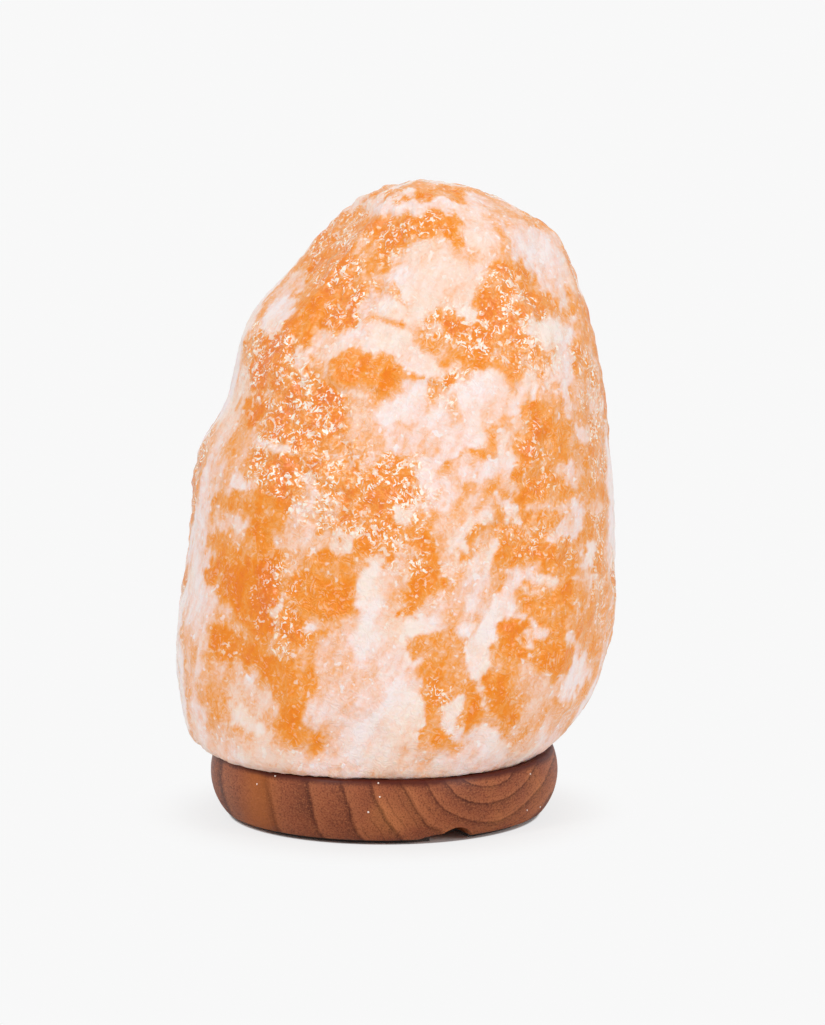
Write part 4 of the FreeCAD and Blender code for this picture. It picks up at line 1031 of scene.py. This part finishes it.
# %% The cap and the shell
CAP_R = 5.95
CAP_WALL = 0.3
CAP_FOOT = ((4.05, 0.0), (4.6, 0.35), (5.3, 1.0))       # radius, and height over the cap's lowest
CAP_SIDE = 1.7           # where the straight side starts, over the cap's lowest
CAP_PLAIN = 1.2          # unthreaded rim at the glass
SHELL_GAP = 0.3          # between the cap's crests and the shell
SHELL_WALL = 0.35
SHELL_FLOOR = 20.0
SHELL_FOOT = ((5.2, 0.0), (6.3, 0.0), (6.6, 0.4))       # radius, and height over the floor
SHELL_SIDE = 1.0
cap_low, cap_high = (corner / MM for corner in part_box("bulb_cap"))
shell_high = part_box("screw_shell")[1] / MM
cap_side = np.linspace(cap_low.z + CAP_SIDE, cap_high.z, 66)
shell_side = np.linspace(SHELL_FLOOR + SHELL_SIDE, shell_high.z, 60)


def outline(foot, floor, radius, side):
    """Radii and heights: the foot's points over the floor, then the side at one radius."""
    r, up = np.array(foot).T
    return np.append(r, np.full(len(side), radius)), np.append(floor + up, side)


cap_outline = outline(CAP_FOOT, cap_low.z, CAP_R, cap_side)
cap = threaded_sheet(*cap_outline, cap_side[0], cap_high.z - CAP_PLAIN)
rolled_tube(cap, CAP_WALL, "rolled_cap", "bulb", "nickel_brass", finish["nickel_plated_brass"], "bulb_cap")
shell_outline = outline(SHELL_FOOT, SHELL_FLOOR, CAP_R + SHELL_GAP + SHELL_WALL, shell_side)
shell = threaded_sheet(*shell_outline, shell_side[0], shell_high.z)
rolled_tube(shell, SHELL_WALL, "rolled_shell", "holder", "brass", finish["rolled_brass"], "screw_shell")

# %% [markdown]
# ## The filament
# The tungsten filament is a fine wire coiled on a mandrel and hung in an arch between the two
# lead wires. A tube is carried along a helix, and the helix along a half circle.

# %% A coil along an arch
COILS = 64
COIL_STEPS = 12          # points of the wire in one turn
COIL_R = 0.2
WIRE_R = 0.06
WIRE_SIDES = 6
ASKEW = (0.31, 0.17, 0.93)       # a direction that the wire never quite takes
filament_low, filament_high = (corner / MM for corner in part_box("filament"))
arch_r = (filament_high.x - filament_low.x) / 2 - COIL_R - WIRE_R
t = np.linspace(0, 1, COILS * COIL_STEPS + 1)
bend = np.pi * (1 - t)
spin = 2 * np.pi * COILS * t
middle = np.stack([arch_r * np.cos(bend), 0 * t, filament_low.z + arch_r * np.sin(bend)], axis=-1)
out = np.stack([np.cos(bend), 0 * t, np.sin(bend)], axis=-1)
side = np.array([0.0, 1.0, 0.0])
line_of_wire = middle + COIL_R * (np.cos(spin)[:, None] * out + np.sin(spin)[:, None] * side)


def tube_along(path, radius, sides):
    """Points of a round tube: at each point of the path, a circle square to its direction."""
    heading = np.gradient(path, axis=0)
    heading /= np.linalg.norm(heading, axis=1, keepdims=True)
    first = np.cross(heading, ASKEW)
    first /= np.linalg.norm(first, axis=1, keepdims=True)
    second = np.cross(heading, first)
    a = np.linspace(0, 2 * np.pi, sides, endpoint=False)[None, :, None]
    return path[:, None] + radius * (np.cos(a) * first[:, None] + np.sin(a) * second[:, None])


wire = tube_along(line_of_wire, WIRE_R, WIRE_SIDES)
make_piece("coiled_filament", closed_points(wire), closed_faces(len(wire), WIRE_SIDES),
           "bulb", "tungsten", finish["drawn_tungsten"], ("filament",))

# %% [markdown]
# ## The screws under the foot
# Three countersunk steel screws with a cross recess hold the foot to plastic plugs in the salt.
# A screw is one turned sheet. The head's face is pushed up where the recess is, and the shank
# carries a sharp thread. Several copies of one small shape make one mesh.

# %% Cross-headed screws
SCREW_SIDES = 48
SCREW_RING = 37.5
SCREW_ANGLES = np.radians([-4.0, 116.0, 236.0])
FACE_ROWS = 26
FACE = (0.05, 3.9)       # radii of the flat face, from its middle to its rim
CONE = ((4.0, 0.15), (3.2, 0.9), (2.5, 1.6), (2.0, 2.2))      # radius and height
POINT = ((1.2, 29.5), (0.5, 31.0), (0.05, 31.9))
SHANK_R = 2.05
SHANK = (2.5, 28.0)      # heights between which the shank is straight
SHANK_ROWS = 120
SCREW_PITCH = 1.6
SCREW_THREAD = 0.55      # depth of its thread
RECESS = 1.5             # depth of the cross recess
ARM_LONG = 2.3           # half length and half width of its arms
ARM_WIDE = 0.45


def screw_sheet():
    """Rows over the head's face, its cone, the threaded shank and the point; the recess lifts
    the face inside a rounded cross, and the thread is cut by a zigzag of height and angle."""
    face = np.stack([np.linspace(*FACE, FACE_ROWS), np.zeros(FACE_ROWS)], axis=-1)
    shank = np.stack([np.full(SHANK_ROWS, SHANK_R), np.linspace(*SHANK, SHANK_ROWS)], axis=-1)
    r, z = np.concatenate([face, CONE, shank, POINT]).T[..., None]
    angle = np.linspace(0, 2 * np.pi, SCREW_SIDES, endpoint=False)[None, :]
    x, y = r * np.cos(angle), r * np.sin(angle)
    one_arm = np.maximum(np.abs(x) / ARM_LONG, np.abs(y) / ARM_WIDE)
    other_arm = np.maximum(np.abs(y) / ARM_LONG, np.abs(x) / ARM_WIDE)
    in_face = np.arange(len(r))[:, None] < FACE_ROWS
    recess = RECESS * (1 - ease(0.8, 1.15, np.minimum(one_arm, other_arm))) * in_face
    lead = (z / SCREW_PITCH - angle / (2 * np.pi)) % 1.0
    cut = SCREW_THREAD * np.abs(2 * lead - 1) * ease(5, 8, z) * (1 - ease(27, 28, z))
    scale = (r - cut) / r
    return np.stack([x * scale, y * scale, z + recess], axis=-1)


def copies(sheets, places, inside_out=False):
    """Points and faces of closed sheets, each moved to its place, as one mesh: every copy's
    corner numbers are raised by the points before it."""
    step = sheets[0].shape[0] * sheets[0].shape[1] + 2
    faces = closed_faces(*sheets[0].shape[:2], inside_out)
    points = [closed_points(sheet) + place for sheet, place in zip(sheets, places)]
    rows = [[corner + k * step for corner in face] for k in range(len(sheets)) for face in faces]
    return np.concatenate(points), rows


screw_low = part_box("base_screws")[0] / MM
screw_places = [(SCREW_RING * math.cos(a), SCREW_RING * math.sin(a), screw_low.z) for a in SCREW_ANGLES]
screws = make_piece("cross_head_screws", *copies([screw_sheet()] * len(screw_places), screw_places),
                    "lamp", "zinc_steel", finish["zinc_plated_steel"], ("base_screws",))
screws.data.set_sharp_from_angle(angle=math.radians(35))

# %% [markdown]
# ## Crumbs of salt
# A few white grains have fallen on the varnished rim. Halite breaks into cubes, so each grain is
# a little cube with its corners rounded, turned this way or that and half sunk in the wood.

# %% Where the grains lie
CRUMB_PIXELS = ((257, 784), (275, 776), (368, 812), (378, 783),
                (380, 797), (530, 774), (540, 807), (527, 810))
CRUMB_MM = (0.6, 0.5, 0.6, 0.5, 0.55, 0.55, 0.45, 0.45)
RIM_R = 60.0             # the foot's widest radius, and its height
RIM_WAIST = 13.0
RIM_HALF = 11.5          # from there to the rim's upper and lower edges
DRAWN_IN = (5.0, 1.6)    # what the radius loses at the lower and the upper edge
RIM_ANGLES = np.radians(np.linspace(-175, -5, 700))      # a fine grid over the rim's front
RIM_HEIGHTS = np.linspace(2.5, 22.6, 160)


def rim_radius(z):
    """Radius of the foot's barrel rim: its widest, less a share that grows as the square of the
    height above or below the waist."""
    rise = (z - RIM_WAIST) / RIM_HALF
    return RIM_R - np.where(rise < 0, *DRAWN_IN) * rise ** 2


def on_rim_at(pixel):
    """The front point of the rim whose picture is nearest to a pixel, out of the fine grid."""
    a, z = np.meshgrid(RIM_ANGLES, RIM_HEIGHTS, indexing="ij")
    r = rim_radius(z)
    grid = np.stack([r * np.cos(a), r * np.sin(a), z], axis=-1).reshape(-1, 3)
    c, w = in_picture(grid)
    return grid[np.argmin(np.hypot(c - pixel[0], w - pixel[1]))]


grain_places = [on_rim_at(pixel) for pixel in CRUMB_PIXELS]
print(len(grain_places), "grains, the first at", grain_places[0].round(1))

# %% [markdown]
# A rounded cube is a ball whose points are pushed out. A few rows of points are enough for a
# grain that is seen two pixels wide.

# %% The grains
CUBE_POWER = 6           # the higher, the sharper the cube's edges
CUBE_SIDES = 12
CUBE_ROWS = 8
CUBE_TIP = 0.3           # angle left open round either end, in radians
FROST_MM = 0.3


def rounded_cube(size, spin):
    """A ball of directions pushed out to a rounded cube: each is divided by the root, of order
    CUBE_POWER, of the sum of its parts to that power, and turned round the three axes."""
    around = np.linspace(0, 2 * np.pi, CUBE_SIDES, endpoint=False)
    a, b = np.meshgrid(around, np.linspace(CUBE_TIP, np.pi - CUBE_TIP, CUBE_ROWS))
    ball = np.stack([np.sin(b) * np.cos(a), np.sin(b) * np.sin(a), np.cos(b)], axis=-1)
    cube = ball / np.sum(ball ** CUBE_POWER, axis=-1, keepdims=True) ** (1 / CUBE_POWER) * size / 2
    for axis, angle in enumerate(spin):
        i, j = (axis + 1) % 3, (axis + 2) % 3
        ci, cj = cube[..., i].copy(), cube[..., j].copy()
        cube[..., i] = ci * math.cos(angle) - cj * math.sin(angle)
        cube[..., j] = ci * math.sin(angle) + cj * math.cos(angle)
    return cube


crumb, tree, shader = blank("salt_crumb")
noise = add(tree, "TexNoise", add(tree, "TexCoord", out="Object"), Scale=1 / (FROST_MM * MM))
crumb_white = add(tree, "ValToRGB", noise, stops=((0.3, "#F3D9C6"), (0.7, "#FFF8F2")))
feed(shader, {"Base Color": crumb_white, "Roughness": 0.3, "IOR": HALITE_IOR})
grains = [rounded_cube(size, (0.7 * k, 1.3 * k, 2.1 * k)) for k, size in enumerate(CRUMB_MM)]
make_piece("salt_crumbs", *copies(grains, grain_places, inside_out=True), "lamp", "rock_salt", crumb)

# %% [markdown]
# ## The studio
# The picture is taken on white paper under large soft lamps. The floor has to show the lamp's
# soft contact shadow and yet be as white as the background. Its material therefore mixes plain
# paper, near the lamp, with a camera-only white that needs no light, further out.

# %% Floor and backdrop
PAPER_WHITE = 0.94
UNDER_FOOT = 0.0535      # plain paper alone inside this radius, in metres,
FADE_FROM = 0.059        # and fading out between these two
FADE_TO = 0.088
SHADOW_SHARE = 0.2       # how much of the plain paper is left just outside it
FLOOR_HALF = 4           # from its middle to its edges, in metres


def straight_rays(tree):
    """1 for what the camera sees, straight or through glass, and 0 for the light on things."""
    straight = add(tree, "LightPath", out="Is Camera Ray")
    through = add(tree, "LightPath", out="Is Transmission Ray")
    return add(tree, "Math", straight, through, operation="MAXIMUM")


paper, tree, shader = blank("white_paper")
away = add(tree, "VectorMath", add(tree, "TexCoord", out="Object"), operation="LENGTH")
near = add(tree, "MapRange", away, FADE_FROM, FADE_TO, SHADOW_SHARE, 0.0, interpolation_type="SMOOTHSTEP")
under_foot = add(tree, "MapRange", away, UNDER_FOOT, UNDER_FOOT + 0.001, 1.0, 0.0)
lit = add(tree, "Math", near, under_foot, operation="MAXIMUM")
unlit = add(tree, "Math", 1.0, lit, operation="SUBTRACT")
white_share = add(tree, "Math", straight_rays(tree), unlit, operation="MULTIPLY")
plain = add(tree, "BsdfDiffuse", (0.9, 0.9, 0.9, 1))
glow = add(tree, "Emission", (1, 1, 1, 1), PAPER_WHITE)
feed(tree.nodes["Material Output"], {"Surface": add(tree, "MixShader", white_share, plain, glow)})
tree.nodes.remove(shader)

floor_mesh = bpy.data.meshes.new("floor")
signs = ((-1, -1), (1, -1), (1, 1), (-1, 1))
floor_mesh.from_pydata([(x * FLOOR_HALF, y * FLOOR_HALF, 0) for x, y in signs], [], [(0, 1, 2, 3)])
floor_mesh.materials.append(paper)
new_object("floor", floor_mesh)
print("floor of", 2 * FLOOR_HALF, "m, paper of", len(tree.nodes), "nodes")

# %% [markdown]
# The surroundings give an even light from everywhere, and look white to the camera and in
# reflections. Four large soft lamps add the modelling: a key from the upper left, a weaker fill
# from the right, one from above and one from behind. At this level a colour renders about as it
# is written.

# %% Surroundings and lamps
AMBIENT = 0.53
AIM = Vector((0, 0, 0.11))
world = bpy.data.worlds.new("studio")
bpy.context.scene.world = world
world.use_nodes = True
tree = world.node_tree
mirrored = add(tree, "LightPath", out="Is Glossy Ray")
seen = add(tree, "Math", straight_rays(tree), mirrored, operation="MAXIMUM")
strength = add(tree, "MapRange", seen, 0.0, 1.0, AMBIENT, PAPER_WHITE)
feed(tree.nodes["Background"], {"Color": (1, 1, 1, 1), "Strength": strength})


def soft_lamp(name, place, size, power, shines=True):
    """A square area lamp at a place in metres, aimed at the middle of the block; one that
    doesn't shine is left out of reflections."""
    data = bpy.data.lights.new(name, "AREA")
    data.size = size
    data.energy = power
    lamp = new_object(name, data)
    lamp.location = place
    lamp.rotation_euler = (AIM - Vector(place)).to_track_quat("-Z", "Y").to_euler()
    lamp.visible_camera = False
    lamp.visible_glossy = shines
    print(name, "lamp:", power, "W from", round((AIM - lamp.location).length, 2), "m")


soft_lamp("key", (-0.9, -1.1, 1.1), 0.36, 9.2)
soft_lamp("fill", (1.2, -0.9, 0.7), 0.5, 6.6)
soft_lamp("top", (0.1, 0.3, 1.5), 0.6, 3.5, shines=False)
soft_lamp("back", (0.2, 1.5, 0.8), 1.0, 2.0, shines=False)
bpy.context.scene.view_settings.view_transform = "Standard"
